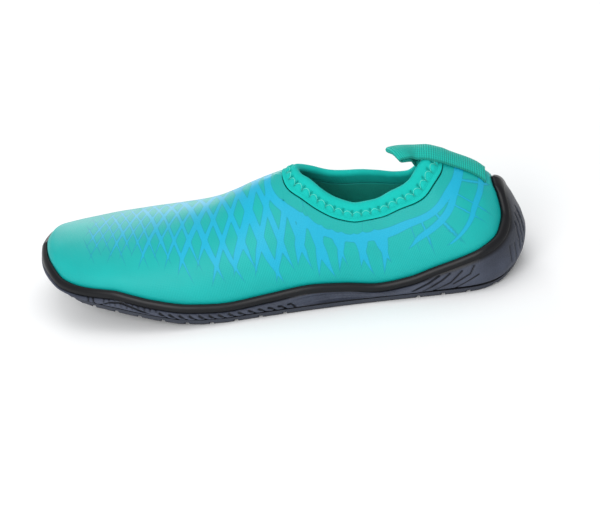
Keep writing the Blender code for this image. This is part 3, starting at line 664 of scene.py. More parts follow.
seam_curve = collar_skin(900, 1.0 + SEAM_GAP / COLLAR_WIDTH)
upper_sides = {}
for flank in (OUTER, INNER):
    seam = opening_climb(place, flank, COLLAR_WIDTH + SEAM_GAP)
    top_climb = np.where((place > low) & (place < high), seam, 1.0)
    foot = [inner_wall(place, flank, depth) for depth in FOOT_DEPTHS]
    skin = [dome(place, flank, share * top_climb) for share in np.linspace(0, 1, UPPER_ROWS)]
    grid = np.stack(foot + skin)
    steps = np.linalg.norm(np.diff(grid, axis=0), axis=-1)
    up = np.concatenate([np.zeros((1, len(place))), np.cumsum(steps, 0)])
    up -= up[len(FOOT_DEPTHS)]
    whole = dome(place, flank, np.linspace(0, 1, 80)[:, None])
    ridge_walk = np.linalg.norm(np.diff(whole, axis=0), axis=-1).sum(0)
    below, round_seam = nearest_on(seam_curve, grid)
    upper_sides[flank] = {
        "grid": grid,
        "up": up,
        "down": ridge_walk - up,
        "seam": below,
        "round": round_seam if flank == OUTER else round_seam.max() - round_seam,
        "from_heel": np.broadcast_to(place * LENGTH, up.shape),
    }
girth = sum(upper_sides[flank]["down"][len(FOOT_DEPTHS)] for flank in (OUTER, INNER))
print("round the shoe at the ball:", round(float(np.interp(0.7, place, girth))), "mm of jersey")

# %% [markdown]
# ## The print on the jersey
#
# The jersey is printed with brighter strokes before it is cut. An image could be wrapped round the
# shoe, but it would stretch. Instead every stroke is a line family: a phase that grows by one from
# stroke to stroke, the distance between strokes, and half a stroke's width, all in millimetres on the
# cloth. A stroke fades where its width falls below nothing. The design here is plain geometry:
# two families cross to diamonds on the vamp, arcs and rays fill the heel, and a band rings the collar.


# %% Line families
def grows(rows, at):
    """Phase along the shoe: the sum of 1 / spacing, with the spacing read from a small table."""
    run = np.linspace(0, LENGTH, 1200)
    spacing = straight(rows, run)
    return np.interp(at, run, np.cumsum(1 / spacing) * (run[1] - run[0]))


STROKE_SPACING = ((0, 13), (60, 12.5), (110, 11.5), (150, 10), (190, 8.2), (225, 6.5), (268, 5.5))
STROKE_HEIGHT = ((0, 60), (70, 52), (110, 44), (150, 30), (190, 21), (225, 16), (268, 13))
STROKE_HALF = ((0, 1.7), (80, 2.2), (115, 2.2), (150, 1.6), (190, 1.05), (225, 0.65), (268, 0.4))
PRINT_MARGIN = ((0, 14), (60, 13), (90, 7), (130, 9), (160, 14), (200, 22), (230, 19), (268, 22))
STROKES_FROM, STROKES_TO, STROKES_FADE = 58, 250, 14
HEEL_PRINT_TO, HEEL_PRINT_FADE = 50, 16
ARC_PITCH, RAY_PITCH = 12.5, 5.5
RING_AT, RING_HALF = 8.6, 2.3
NO_STROKE = 3.0


def print_facts(side, sign):
    """Five line families for one side of the upper, each as (phase, spacing, half width)."""
    run, up, down, seam, walk = (side[key] for key in ("from_heel", "up", "down", "seam", "round"))
    tall = straight(STROKE_HEIGHT, run)
    wide = straight(STROKE_SPACING, run)
    base = grows(STROKE_SPACING, run) + 0.16 * np.sin(run / 17.0) + 0.05 * np.sin(down / 9.0 + run / 23.0)
    apart = 1 / np.hypot(1 / wide, 1 / tall)
    zone = ease((run - STROKES_FROM) / STROKES_FADE) * ease((STROKES_TO - run) / STROKES_FADE)
    facts = {}
    for key, lean in (("stroke_down", 1.0), ("stroke_up", -1.0)):
        phase = base + lean * sign * down / tall
        swing = 1 + 0.34 * np.cos(2 * math.pi * phase / 3 + lean)
        half = straight(STROKE_HALF, run) * swing
        low_end = straight(PRINT_MARGIN, run) + 4.5 * np.sin(2 * math.pi * phase / 2.6)
        taper = np.minimum((up - low_end) / 13, 1) * zone - (1 - zone) * 0.8
        half = np.where(taper > 0, half * taper, 1.4 * taper)
        half = half - NO_STROKE * ease((7.0 - seam) / 2)
        facts[key] = np.stack([phase, apart, half], -1)
    heel = 1 - ease((run - HEEL_PRINT_TO) / HEEL_PRINT_FADE)
    at_seam = NO_STROKE * ease((8.5 - seam) / 2)
    above = np.minimum((up - 9) / 8, 1)
    arc = (seam - 0.30 * walk) / ARC_PITCH
    bow = np.sin(np.clip((up - 6) / 44, 0, 1) * math.pi) ** 0.8
    thick = 2.4 * bow * (0.8 + 0.3 * np.cos(2 * math.pi * arc / 2))
    thick = np.where(above > 0, thick * heel, -1.0) - 1.0 * (1 - heel) - at_seam
    facts["heel_arc"] = np.stack([arc, 0 * arc + 12.0, thick], -1)
    ray = (walk + 0.25 * seam) / (RAY_PITCH + 0.04 * seam)
    thin = 0.42 * np.minimum(above, 1) * heel - 0.8 * (1 - heel) - at_seam
    facts["heel_ray"] = np.stack([ray, RAY_PITCH + 0.05 * seam, thin], -1)
    band = RING_HALF + 0.35 * np.sin(walk / 7.0)
    lone = 0.5 + (seam - RING_AT) / 1000, 0 * seam + 1000, band - 2 * (up < 0)
    facts["collar_ring"] = np.stack(lone, -1)
    facts["cloth_place"] = np.stack([run, sign * down, up], -1)
    facts["seam_distance"] = seam
    return facts


both = [print_facts(upper_sides[OUTER], -1.0), print_facts(upper_sides[INNER], 1.0)]
upper_facts = {}
for key in both[0]:
    upper_facts[key] = np.concatenate([side[key].reshape(-1, *side[key].shape[2:]) for side in both])
print("line families:", [key for key in upper_facts if key not in ("cloth_place", "seam_distance")])

# %% [markdown]
# ## Printed stretch jersey
#
# Polyester and elastane jersey on a thin foam back, printed by heat transfer. It is matt with a soft
# sheen, its knit shows as fine ribs, and the print lies flat on it. A thin darker line along each
# stroke's edge is painted shade, for the slightly raised edge of the print. Real knit ribs are 0.4 mm
# apart, too fine to show here, so they are drawn at 0.9 mm.

# %% Finish: printed stretch jersey
KNIT_SCALE = 0.35
jersey, tree, shader = new_finish(
    "printed_stretch_jersey", Roughness=0.46, Sheen_Weight=0.05, Sheen_Roughness=0.35,
    Specular_IOR_Level=0.25,
)


def family_distance(key):
    """Distance to the nearest stroke's edge: |fraction of phase - 1/2| times spacing, less half width."""
    parts = add(tree, "ShaderNodeSeparateXYZ", {0: attribute(tree, key, "Vector")})
    centred = maths(tree, "SUBTRACT", maths(tree, "FRACT", parts.outputs[0]), 0.5)
    scaled = maths(tree, "MULTIPLY", maths(tree, "ABSOLUTE", centred), parts.outputs[1])
    return maths(tree, "SUBTRACT", scaled, parts.outputs[2])


edge = family_distance("stroke_down")
for key, merge in (("stroke_up", 1.1), ("collar_ring", 1.6), ("heel_arc", 0.6), ("heel_ray", 0.25)):
    edge = maths(tree, "SMOOTH_MIN", edge, family_distance(key), merge)
inked = ramp(tree, edge, -0.12, 0.12, 1.0, 0.0, interpolation_type="SMOOTHSTEP")
to_edge = maths(tree, "ABSOLUTE", edge)
# Painted shade: a thin darker line along each stroke's edge, for the print's raised edge.
painted_edge_shade = ramp(tree, to_edge, 0.10, 0.30, 0.5, 0.0, interpolation_type="SMOOTHSTEP")

cloth = attribute(tree, "cloth_place", "Vector")
plain = mix(tree, noise(tree, cloth, 0.045, 2.0), "#089F9C", "#0CAEA9")
shaded = ramp(tree, attribute(tree, "seam_distance"), 5.5, 7.0, 0.3, 0.0)
ground = mix(tree, shaded, plain, "#0C9C95")
inks = mix(tree, noise(tree, cloth, 1.3, 3.0), "#0C9DBE", "#16ADCE")
dye(tree, shader, mix(tree, painted_edge_shade, mix(tree, inked, ground, inks), "#0A8794"))

ribs, courses = (bands(tree, cloth, KNIT_SCALE, axis, Distortion=0.6, Detail=1.0) for axis in "XY")
knit = maths(tree, "MULTIPLY", ribs, courses)
smoother = maths(tree, "MULTIPLY_ADD", inked, -0.35, 1.0)
bump(tree, shader, maths(tree, "MULTIPLY", knit, smoother), 0.00012, 0.7)
print("jersey finish:", len(tree.nodes), "nodes")

# %% The upper's mesh and wall
rows, columns = upper_sides[OUTER]["grid"].shape[:2]
quads = grid_quads(rows, columns, wrap_columns=False)
points = np.concatenate([upper_sides[flank]["grid"].reshape(-1, 3) for flank in (OUTER, INNER)])
both_quads = np.concatenate([quads, quads[:, ::-1] + rows * columns])
upper = surface("upper", points, both_quads, [jersey, lining], upper_facts)
wall = upper.modifiers.new("wall", "SOLIDIFY")
wall.thickness = UPPER_WALL / 1000
wall.offset = -1
wall.material_offset = 1
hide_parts("upper")

# %% [markdown]
# ## The cup sole
#
# The sole is one moulding of rubber: a side wall with a pebbled panel and grooves, a smooth rim band
# that grips the upper, and a cup inside. It is a closed grid of rings, from the middle of its
# underside out, up the wall, over the band and down inside to the middle of the floor.

# %% The cup sole's rings
# share of the height, then how far the ring is set in: everywhere, more at the heel, more at the toe
WALL_ROWS = (
    (0, 1.2, 2.8, 3.6), (0.14, 0.4, 0.6, 2), (0.31, 0, 0, 1.2), (0.55, 0.4, 0, 0.4),
    (0.8, 1.4, -0.8, -0.4), (1, 2.6, -1.6, -0.8),
)
BAND_ROWS = (
    (0, 2.6, -1.6, -0.8), (0.05, 1.9, -1.2, -0.5), (0.12, 1.65, -1.0, -0.4), (0.45, 1.7, -0.9, -0.1),
    (0.75, 2.2, -0.8, 0.2), (0.92, 2.8, -0.6, 0.5), (1, 3.6, -0.3, 0.9),
)
# share of the height, share of the waist's hollow
HOLLOWS = ((0, 0), (0.14, 0.8), (0.31, 1), (0.55, 1), (0.8, 0.3), (1, 0))
RECESS_DEPTH, RECESS_MIDDLE, RECESS_HALF = 4.2, 0.395, 0.125


def even_places(count):
    """Places evenly spaced round the sole's edge, by the mean walk of its two sides."""
    walk = 0.5 * (edge_walk[OUTER] / edge_walk[OUTER][-1] + edge_walk[INNER] / edge_walk[INNER][-1])
    found = np.interp(np.linspace(0, 1, count), walk, fine)
    found[0], found[-1] = 0.0, 1.0
    return found


def sole_ring(inset, heel, toe, height_of):
    """A ring whose height is a function of place and side."""

    def ring(place, flank):
        return rim_ring(place, flank, inset(place), height_of(place, flank), heel, toe)

    return ring


def recess(place):
    """Hollow at the waist, 0 to 1: a smooth bump about its middle."""
    return ease(1 - np.abs(place - RECESS_MIDDLE) / RECESS_HALF)


def wall_bottom(place):
    return along(UNDERSIDE, 1, place) + TREAD_THICKNESS + GAP


def set_in(rows, share):
    """How far a ring is set in at a share of the height: everywhere, at the heel, at the toe."""
    table = np.transpose(rows)
    return [line_through(table[0], column, share) for column in table[1:]]


def wall_ring(share):
    """Outer wall at a share of its height, with the hollow of the waist."""
    inset, heel, toe = set_in(WALL_ROWS, share)
    hollow = RECESS_DEPTH * line_through(*np.transpose(HOLLOWS), share)

    def height(place, flank):
        return wall_bottom(place) + share * (band_foot(place, flank) - wall_bottom(place))

    return sole_ring(lambda place: inset + hollow * recess(place), heel, toe, height)


def band_ring(share):
    inset, heel, toe = set_in(BAND_ROWS, share)

    def height(place, flank):
        return band_foot(place, flank) + share * RIM_BAND

    return sole_ring(lambda place: inset, heel, toe, height)


def cup_ring(depth):
    def height(place, flank):
        top = rim_height(place, flank)
        return top + depth * (floor_height(place) - top)

    return sole_ring(lambda place: CUP_WALL, 0.0, 0.0, height)


SOLE_COUNT = 430
sole_places = even_places(SOLE_COUNT)
wall_shares = np.linspace(0, 1, 54)
band_shares = (0.0, 0.03, 0.07, 0.12, 0.2, 0.3, 0.45, 0.6, 0.75, 0.85, 0.92, 0.97, 1.0)
rings = [wall_ring(share) for share in wall_shares]
rings += [band_ring(share) for share in band_shares[1:]]
rings += [cup_ring(depth) for depth in (0.0, 0.25, 0.6, 1.0)]
sole_grid = np.stack([round_the_shoe(ring, sole_places) for ring in rings])


def pressed_flat(row):
    """A closed row pressed on the middle line: each point takes the mean of itself and its twin."""
    twin = np.concatenate([row[:1], row[:0:-1]])
    return 0.5 * (row + twin)


print("sole grid:", sole_grid.shape)

# %% [markdown]
# ## Grooves in the wall
#
# The mould leaves long slanted grooves at the heel, bent teeth along the forefoot, a lens with ticks at
# the toe, and a line that runs down the back of the heel and along its foot. Cutting each with a
# Boolean would break the grid. Each groove is instead a line on the unrolled wall, and every point
# sinks by a depth that fades with its distance from it.

# %% The grooves on the unrolled wall
# chains of places, each with its height in millimetres
CHEVRONS = (
    ((0.2356, 5.2), (0.203, 8.7), (0.1805, 12.0)), ((0.2155, 4.2), (0.1754, 9.7), (0.1579, 12.9)),
    ((0.2005, 3.1), (0.1579, 8.2), (0.1328, 13.9)), ((0.1529, 7.1), (0.1178, 11.8), (0.1078, 16.1)),
    ((0.1604, 2.5), (0.1003, 11.0)), ((0.0326, 21.1), (0.0326, 11.4)), ((0.0226, 20.9), (0.0226, 9.9)),
    ((0.012, 30.0), (0.015, 15.0)), ((0.006, 33.0), (0.009, 17.0)), ((0.0018, 35.0), (0.0042, 20.0)),
)
LENS = (
    ((0.868, 15.6), (0.8446, 17.6), (0.8221, 17.3), (0.797, 14.8), (0.7569, 10.0)),
    ((0.8897, 19.3), (0.8822, 14.5)), ((0.8797, 19.2), (0.8697, 14.8)),
)
PARTING = (
    ((0.0012, 33), (0.003, 22), (0.008, 12), (0.02, 6.2), (0.05, 4.4), (0.12, 3.8), (0.21, 3.6)),
)
# half width and depth of each kind of groove
LONG_GROOVE, PARTING_GROOVE, TICK, TOOTH = (0.44, 0.95), (0.42, 1.0), (0.5, 0.6), (0.6, 1.1)
TICK_PLACES = np.linspace(0.857, 0.752, 10)
TICK_TOP, TICK_FALL, TICK_TALL = 19.4, 5.4, 2.3
TOOTH_PLACES = np.linspace(0.7393, 0.4812, 14)


def unrolled(place, flank):
    """Millimetres walked along the sole's edge from the back of the heel."""
    return np.interp(place, fine, edge_walk[flank])


def links(chains, kind):
    """Every link of every chain, with its groove's half width and depth."""
    return [(*a, *b, *kind) for chain in chains for a, b in zip(chain, chain[1:])]


def groove_lines(flank):
    """All grooves of one side as rows of run, height, run, height, half width, depth."""
    rows = links(CHEVRONS + LENS, LONG_GROOVE) + links(PARTING, PARTING_GROOVE)
    for k, place in enumerate(TICK_PLACES):
        top = TICK_TOP - TICK_FALL * k / 9
        rows.append((place, top, place - 0.002, top - TICK_TALL, *TICK))
    for place in TOOTH_PLACES:
        low, tall = float(wall_bottom(place)), float(band_foot(place, flank) - wall_bottom(place))
        share = 0.74 - 0.34 * float(ease((0.62 - place) / 0.16))
        top = place + 0.004, low + share * tall
        rows += links([(top, (place - 0.002, low + 0.42 * tall), (place - 0.010, low - 0.2))], TOOTH)
    return [(unrolled(a, flank), b, unrolled(c, flank), d, half, deep) for a, b, c, d, half, deep in rows]


def sunk(run, height, rows):
    """Depth at each point: a groove's depth times a smooth fall with distance from its line."""
    depth = np.zeros(np.broadcast(run, height).shape)
    for a, b, c, d, half, deep in rows:
        over = (run - a) * (c - a) + (height - b) * (d - b)
        t = np.clip(over / ((c - a) ** 2 + (d - b) ** 2 + 1e-9), 0, 1)
        apart = np.hypot(run - a - t * (c - a), height - b - t * (d - b))
        depth = np.maximum(depth, deep * (1 - ease(apart / (half * 1.45))))
    return depth


count = len(sole_places)
run_outer, run_inner = unrolled(sole_places, OUTER), unrolled(sole_places, INNER)
wall_rows = len(wall_shares)
heights = sole_grid[:wall_rows, :, 2]
depth = np.zeros(heights.shape)
depth[:, :count] = sunk(run_outer, heights[:, :count], groove_lines(OUTER))
depth[:, count:] = sunk(run_inner[-2:0:-1], heights[:, count:], groove_lines(INNER))
outward = normals(sole_grid)
outward *= np.sign(outward[20, 100] @ (sole_grid[20, 100] - sole_grid[20].mean(0)))
pushed = sole_grid.copy()
pushed[:wall_rows] -= outward[:wall_rows] * depth[..., None]
# The panel is etched from its foot to near the band, and worn smooth at the heel's top and back
panel = np.zeros(sole_grid.shape[:2])
panel[:wall_rows] = (ease(wall_shares / 0.06) * (1 - ease((wall_shares - 0.82) / 0.16)))[:, None]
from_heel = np.concatenate([run_outer, run_inner[-2:0:-1]])
worn_smooth = 0.6 * ease((wall_shares[:, None] - 0.3) / 0.6) * (1 - ease((from_heel - 12) / 45))
panel[:wall_rows] *= 1 - worn_smooth
# The groove depth is also used by the rubber finish to paint shade: deeper grooves are painted darker.
groove = np.zeros(sole_grid.shape[:2])
groove[:wall_rows] = depth
print("deepest groove:", round(float(depth.max()), 2), "mm")

# %% [markdown]
# ## Moulded rubber
#
# The sole is carbon-filled rubber, moulded in steel. Where the steel was polished, as on the rim band,
# it is a satin black. Where the steel was etched, the wall has a fine pebble grain that catches light.
# Its blue-grey colour is in part painted highlight, standing for the light that the grain catches. The
# real grain is about 0.5 mm, drawn here at 0.8 mm so that it shows.

# %% Finish: moulded rubber
rubber, tree, shader = new_finish("moulded_rubber", Specular_IOR_Level=0.24)
shade, hollow = attribute(tree, "panel"), attribute(tree, "groove")
where = own_place(tree)
grain = add(tree, "ShaderNodeTexVoronoi", {"Vector": where, "Scale": 1250.0}, feature="SMOOTH_F1")
# The etched grain is real; its blue-grey colour is in part painted highlight, for the light it catches.
etched = mix(tree, noise(tree, where, 90.0, 4.0), "#2E323D", "#4A5060")
skin = mix(tree, shade, "#0D0E12", etched)
# Painted shade: the deeper the groove, the nearer its colour to near-black.
dye(tree, shader, mix(tree, ramp(tree, hollow, 0.1, 0.7, 0.0, 0.9), skin, "#07080B"))
tree.links.new(ramp(tree, shade, 0.0, 1.0, 0.34, 0.52).outputs[0], shader.inputs["Roughness"])
pebble = maths(tree, "MULTIPLY", grain.outputs["Distance"], shade)
bump(tree, shader, pebble, 0.00035, 0.8)
print("rubber finish:", len(tree.nodes), "nodes")

# %% The cup sole's mesh
closed = np.concatenate([pressed_flat(pushed[0])[None], pushed, pressed_flat(pushed[-1])[None]])
ends = np.zeros((1, sole_grid.shape[1]))
sole_facts = {}
for key, values in (("panel", panel), ("groove", groove)):
    sole_facts[key] = np.concatenate([ends, values, ends])
midsole = surface("midsole", closed, grid_quads(*closed.shape[:2]), [rubber], sole_facts)
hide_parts("midsole")

# %% [markdown]
# ## Tread rubber
#
# The layer on the ground is a softer, duller black rubber. Its solid already has the lugs and grooves,
# so the solid is kept and only gets its finish: a matt black with fine parallel lines from the mould
# and a little dust. Its sides are moulded like the wall above, so faces that look sideways get the
# wall's blue-grey, which is in part painted highlight, as on the wall.

# %% Finish: tread rubber
tread, tree, shader = new_finish("tread_rubber", Specular_IOR_Level=0.4)
where = own_place(tree)
scuffs = noise(tree, where, 140.0, 5.0)
worn = mix(tree, scuffs, "#0E0F12", "#25272D")
facing = add(tree, "ShaderNodeNewGeometry").outputs["Normal"]
upward = maths(tree, "ABSOLUTE", add(tree, "ShaderNodeSeparateXYZ", {0: facing}).outputs[2])
# Faces that look sideways get the wall's blue-grey: in part painted highlight, as on the wall.
side = ramp(tree, upward, 0.35, 0.75, 1.0, 0.0)
dye(tree, shader, mix(tree, side, worn, "#2F333E"))
tree.links.new(ramp(tree, scuffs, 0.3, 0.7, 0.5, 0.72).outputs[0], shader.inputs["Roughness"])
bump(tree, shader, bands(tree, where, 260.0, "DIAGONAL", Distortion=0.3), 0.0002, 0.6)
print("tread finish:", len(tree.nodes), "nodes")

# %% The tread keeps its solid and gets a finish
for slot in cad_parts["outsole"].material_slots:
    slot.material = tread

# %% [markdown]
# ## The footbed
#
# The footbed is a sheet of foam with a cloth face, pressed to shape and cut to the cup. It is a closed
# grid of rings with soft edges, which end on the middle line above and below.

# %% The footbed's rings
# share of the thickness, how far the ring is set in
BED_ROWS = ((0, 1.4), (0.08, 0.6), (0.25, 0.2), (0.6, 0.1), (0.85, 0.4), (0.96, 1.0), (1, 1.8))
clear = CUP_WALL + UPPER_WALL + 4 * GAP


def bed_ring(share, side):
    def height(place, flank):
        return floor_height(place) + GAP + share * INSOLE_THICKNESS

    return sole_ring(lambda place: clear + side, 0.0, 0.0, height)


bed_places = bunched(160)
bed_rings = [bed_ring(*row) for row in BED_ROWS]
bed = np.stack([round_the_shoe(ring, bed_places) for ring in bed_rings])
bed_top = np.stack([bed[-1] + (pressed_flat(bed[-1]) - bed[-1]) * t for t in np.linspace(0.04, 1, 22)])
bed = np.concatenate([pressed_flat(bed[0])[None], bed, bed_top])
insole = surface("insole", bed, grid_quads(*bed.shape[:2]), [foam])
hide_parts("insole")

# %% [markdown]
# ## The collar binding
#
# A strip of stretch jersey is folded over the cut edge and sewn down with an overlock stitch, which
# draws it into small puffs. It is a section of points between the edge and the seam, carried round
# the opening along the dome. Along the section it rolls over the edge, swells where the puffs are, dips
# between their tops and lies flat below the stitches, with a fine line pressed in under them.


# %% The collar's section
COLLAR_COUNT = 900
PUFF_PITCH = 5.3
EDGE_TURN = np.radians(np.arange(0, 91, 15))
EDGE_SHARE = 0.2
STITCHED_FROM, STITCHED_TO = 0.40, 0.80
ROLL, PUFF_TALL, PUFF_SUNK, DIMPLE = 0.75, 1.2, 0.5, 0.6
FLAT_PROUD, LIP = 0.45, 0.34
outer_face, inner_face = COLLAR_PROUD, COLLAR_PROUD - COLLAR_THICKNESS
middle_face, half_face = (outer_face + inner_face) / 2, (outer_face - inner_face) / 2


def fold(turn, side):
    """A row on the folded edge, on the outer face (1) or the inner (-1)."""
    return EDGE_SHARE * (1 - math.cos(turn)), middle_face + side * half_face * math.sin(turn), int(side > 0)


# level from the edge (0) to the seam (1), height over the dome, 1 where the thread puffs it
section = [fold(turn, 1) for turn in EDGE_TURN]
section += [(level, outer_face, 1) for level in np.linspace(0.23, 0.97, 36)]
section += [(1.0, 0.70 * outer_face + 0.30 * inner_face, 0), (1.0, middle_face, 0)]
section += [(0.96, 0.1 * outer_face + 0.9 * inner_face, 0), (0.85, inner_face, 0), (0.5, inner_face, 0)]
section += [fold(turn, -1) for turn in EDGE_TURN[:0:-1]]
levels, depths, puffed = (np.array(column, float) for column in zip(*section))

seam_row = collar_skin(COLLAR_COUNT, 1.0)
seam_walk = arc_length(np.concatenate([seam_row, seam_row[:1]]))
PUFFS = round(seam_walk[-1] / PUFF_PITCH)
puff_phase = seam_walk[:-1] / seam_walk[-1] * PUFFS
uneven = 1 + 0.10 * np.sin(puff_phase * 1.9) + 0.07 * np.sin(puff_phase * 4.7 + 1)
puff = np.abs(np.sin(math.pi * puff_phase)) ** 0.75 * uneven


def cuff_frame(level):
    """Skin, outward normal and downward direction of the cuff at one level."""
    skin = collar_skin(COLLAR_COUNT, level)
    above, below = max(0.0, level - 0.25), min(1.0, level + 0.25)
    across = collar_skin(COLLAR_COUNT, below) - collar_skin(COLLAR_COUNT, above)
    out = np.cross(np.roll(skin, -1, 0) - np.roll(skin, 1, 0), across)
    unit = [v / np.linalg.norm(v, axis=1, keepdims=True) for v in (out, across)]
    return skin, unit[0], unit[1]


def bell(level, middle, width):
    """1 at the middle, falling off to both sides: e to the minus square of the distance in widths."""
    return math.exp(-(((level - middle) / width) ** 2))


cuff_rows, cuff_out = [], []
for level, depth, on in zip(levels, depths, puffed):
    skin, out, down = cuff_frame(level)
    roll = ROLL * math.sin(math.pi * min(level / 0.5, 1)) ** 0.9 * on
    swell = math.sin(math.pi * min(max((level - 0.42) / 0.34, 0), 1)) ** 0.7 * on
    dimple = DIMPLE * bell(level, 0.47, 0.06) * on
    below_stitches = (level > 0.5) * (depth > middle_face)
    flat_edge = (outer_face - FLAT_PROUD) * float(ease((level - 0.72) / 0.08)) * below_stitches
    seam_line = (0.2 * bell(level, 0.83, 0.02) - 0.3 * bell(level, 0.78, 0.018)) * on
    lip = LIP * ease((level - 0.8) / 0.2)
    puffs = swell * (PUFF_TALL * puff[:, None] - PUFF_SUNK) - dimple * (1 - puff[:, None])
    rise = depth + roll + puffs - flat_edge - seam_line
    cuff_rows.append(skin + out * rise + down * lip * (on > 0))
    cuff_out.append(out)
cuff, cuff_out = np.stack(cuff_rows), np.stack(cuff_out)
stitched = (levels > STITCHED_FROM) & (levels < STITCHED_TO) & (puffed > 0)
cuff_facts = {
    "cuff_place": np.stack(np.broadcast_arrays(seam_walk[:-1], levels[:, None] * COLLAR_WIDTH, 0.0), -1),
    # 1 in the valleys between puffs, where the binding is painted darker: painted shade
    "valley_shade": np.broadcast_to(1 - puff, cuff.shape[:2]) * stitched[:, None],
}
collar = surface("collar", cuff, grid_quads(*cuff.shape[:2], wrap_rows=True), [binding], cuff_facts)
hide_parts("collar")

# %% [markdown]
# ## The overlock thread
#
# The thread comes up at the foot of a puff, arches over its top and goes down at the other foot. Each
# stitch is a short tube along points picked from the cuff itself, so that it follows every puff.

# %% The stitches
THREAD_RADIUS, THREAD_CLEAR = 0.23, 0.12
THREAD_SIDES = 6
ARC_LOW, ARC_HIGH = 0.72, 0.50


def tubes(name, paths, radius, finish):
    """Closed tubes along paths, an array of stitches by points by 3, tapered to a point at both ends."""
    run = np.gradient(paths, axis=1)
    run /= np.linalg.norm(run, axis=-1, keepdims=True)
    side = np.cross(run, (0.0, 0.3, 1.0))
    side /= np.linalg.norm(side, axis=-1, keepdims=True)
    rise = np.cross(side, run)
    turn = np.linspace(0, 2 * math.pi, THREAD_SIDES, endpoint=False)
    width = radius * np.sin(np.linspace(0, math.pi, paths.shape[1])) ** 0.35
    ring = side[..., None, :] * np.cos(turn)[:, None] + rise[..., None, :] * np.sin(turn)[:, None]
    ring = paths[..., None, :] + ring * width[:, None, None]
    one = grid_quads(paths.shape[1], THREAD_SIDES)
    each = ring[0].shape[0] * ring[0].shape[1]
    every = (one[None] + each * np.arange(len(paths))[:, None, None]).reshape(-1, 4)
    return surface(name, ring, every, [finish], weld=0.001)


along_arc = np.linspace(0, 1, 15)
arc_level = ARC_LOW - (ARC_LOW - ARC_HIGH) * np.sin(math.pi * along_arc) ** 0.6
outer_rows = np.nonzero(puffed > 0)[0]
row_at = np.interp(arc_level, levels[outer_rows], outer_rows)
starts = np.searchsorted(puff_phase, np.arange(PUFFS + 1))
columns = (starts[:-1, None] + along_arc * np.diff(starts)[:, None]).round().astype(int) % COLLAR_COUNT
low_row = np.floor(row_at).astype(int)
share = (row_at - low_row)[None, :, None]
on_cuff = cuff[low_row, columns] * (1 - share) + cuff[low_row + 1, columns] * share
thread_paths = on_cuff + cuff_out[low_row, columns] * THREAD_CLEAR
thread = tubes("binding_thread", thread_paths, THREAD_RADIUS, binding_thread)
print("stitches:", PUFFS)

# %% [markdown]
# ## The pull tab
#
# A strip of ribbed webbing runs up the back seam, over the collar, folds to a flat loop and is tucked
# in behind the collar. It is a centre line in the shoe's middle plane, offset from the dome, with
# the strip's width laid across it. The loop's end isn't sewn: it stands up a little, and its outer
# corner is drawn back on a slant.


# %% The pull tab's path and strip
# place on the ridge where the tab begins; how far its free end rises and its corner is drawn back
TAB_START = 0.014
TIP_RISE, TIP_SLANT = 0.9, 8.0
FOLD_RADIUS, TIP_DROOP = 0.85 * TAB_THICKNESS, 1.1


def dome_height(run, across):
    """Height of the dome at points along and across the shoe: read off its cross sections."""
    place = (run - RIDGE_ENDS[0]) / RIDGE_RUN
    climbs = np.linspace(0.45, 1.0, 90)[:, None]
    heights = np.zeros(np.broadcast(run, across).shape)
    for flank in (OUTER, INNER):
        sections = dome(place, flank, climbs)
        reach = np.abs(sections[..., 1] - sections[-1, :, 1])
        on = np.broadcast_to((across < 0) == (flank == OUTER), heights.shape)
        for k in np.nonzero(on)[0]:
            heights[k] = np.interp(abs(across[k]), reach[::-1, k], sections[::-1, k, 2])
    return heights


def tab_line():
    """Rows of the centre line: along the shoe, lift over the dome, and the share of the dome's curve."""
    start, seam, edge = map(on_ridge, (TAB_START, opening_ends(COLLAR_WIDTH)[0], opening_ends(0.0)[0]))
    tip = edge - TAB_LOOP
    upper_lift = TAB_THICKNESS / 2 + 1.5 * GAP
    top = COLLAR_PROUD + TAB_THICKNESS / 2 + 2 * GAP
    beneath = COLLAR_PROUD - COLLAR_THICKNESS - TAB_THICKNESS / 2 - 2 * GAP
    rows = [(start + (seam - start) * k, upper_lift, 1.0) for k in (0, 0.2, 0.4, 0.6)]
    rows += [(seam + 3.0, upper_lift + 0.35, 1.0), (seam - 0.8, top - 0.1, 1.0)]
    rows += [(seam + (edge - seam) * 0.55, top, 1.0), (edge + 1.0, top, 0.9)]
    rows += [(edge - 0.35 * TAB_LOOP, top - 0.4, 0.7), (edge - 0.7 * TAB_LOOP, top - 0.8, 0.55)]
    for turn in np.radians((0, 30, 60, 90, 120, 150, 180)):
        across, down = FOLD_RADIUS * (1 - math.sin(turn)), FOLD_RADIUS * (1 - math.cos(turn))
        rows.append((tip + across, top - TIP_DROOP - down, 0.5))
    rows += [(edge - 0.6 * TAB_LOOP, top - TIP_DROOP - 2.3 * FOLD_RADIUS, 0.6)]
    rows += [(edge - 0.25 * TAB_LOOP, beneath - 0.4, 0.8), (edge, beneath, 0.9)]
    rows += [(edge + TAB_TUCK * 0.5, beneath, 1.0), (edge + TAB_TUCK * 0.9, beneath, 1.0)]
    return np.array(rows)


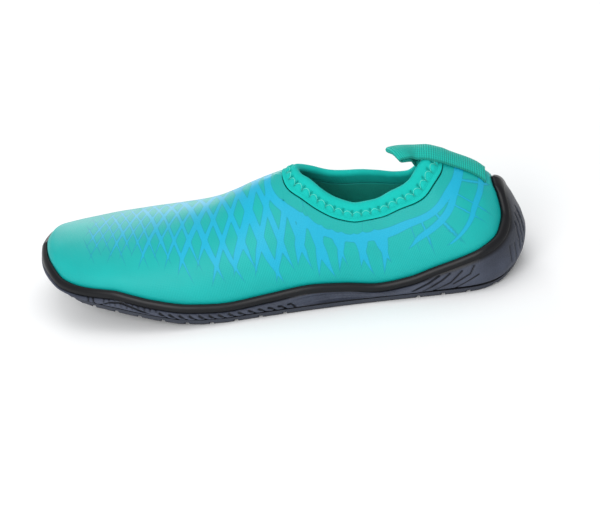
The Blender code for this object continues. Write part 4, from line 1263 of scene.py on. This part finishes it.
line = tab_line()
walk = arc_length(line[:, :2])
tab_walk = np.linspace(0, walk[-1], 150)
tab_run, tab_lift, tab_curve = (line_through(walk, line[:, k], tab_walk) for k in range(3))
tab_across = np.linspace(-0.5, 0.5, 25) * TAB_WIDTH
level = dome_height(tab_run, np.zeros_like(tab_run))
strip = []
for side in tab_across:
    at = np.full(len(tab_run), side)
    height = level + (dome_height(tab_run, at) - level) * tab_curve
    lean = (dome_height(tab_run + 2, at) - dome_height(tab_run - 2, at)) / 4
    tilt = (dome_height(tab_run, at + 2) - dome_height(tab_run, at - 2)) / 4 * tab_curve
    size = np.sqrt(1 + lean**2 + tilt**2)
    point = tab_run - lean / size * tab_lift, at - tilt / size * tab_lift, height + tab_lift / size
    strip.append(np.stack(point, -1))
strip = np.stack(strip)
loose = ease((on_ridge(opening_ends(0.0)[0]) - 3 - strip[..., 0]) / (TAB_LOOP - 6))
toward_outer = np.clip(0.5 - tab_across / TAB_WIDTH, 0, 1)[:, None]
strip[..., 2] += loose * TIP_RISE
strip[..., 0] += loose * TIP_SLANT * toward_outer
out = normals(strip, wrap_columns=False)
out *= np.sign(out[12, 20, 2])
edge_round = np.sqrt(np.clip(1 - (np.abs(tab_across) / (TAB_WIDTH / 2)) ** 14, 0, 1))[:, None, None]
top_face = strip + out * TAB_THICKNESS / 2 * np.maximum(edge_round, 0.35)
low_face = strip - out * TAB_THICKNESS / 2 * np.maximum(edge_round, 0.35)
ribbon = np.concatenate([top_face, low_face[::-1]])
both_faces = np.concatenate([tab_across, tab_across[::-1]])[:, None]
strip_place = np.stack(np.broadcast_arrays(tab_walk, both_faces, 0.0), -1)
tab_quads = grid_quads(*ribbon.shape[:2], wrap_rows=True, wrap_columns=False)
half = len(tab_across)
start_cap = [(k, k + 1, 2 * half - 2 - k, 2 * half - 1 - k) for k in range(half - 1)]
caps = np.array(start_cap) * ribbon.shape[1]
tab_quads = np.concatenate([tab_quads, caps, caps[:, ::-1] + ribbon.shape[1] - 1])
pull_tab = surface("pull_tab", ribbon, tab_quads, [webbing], {"strip_place": strip_place})
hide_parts("pull_tab")

# %% Bring the scene up to date
bpy.context.view_layer.update()
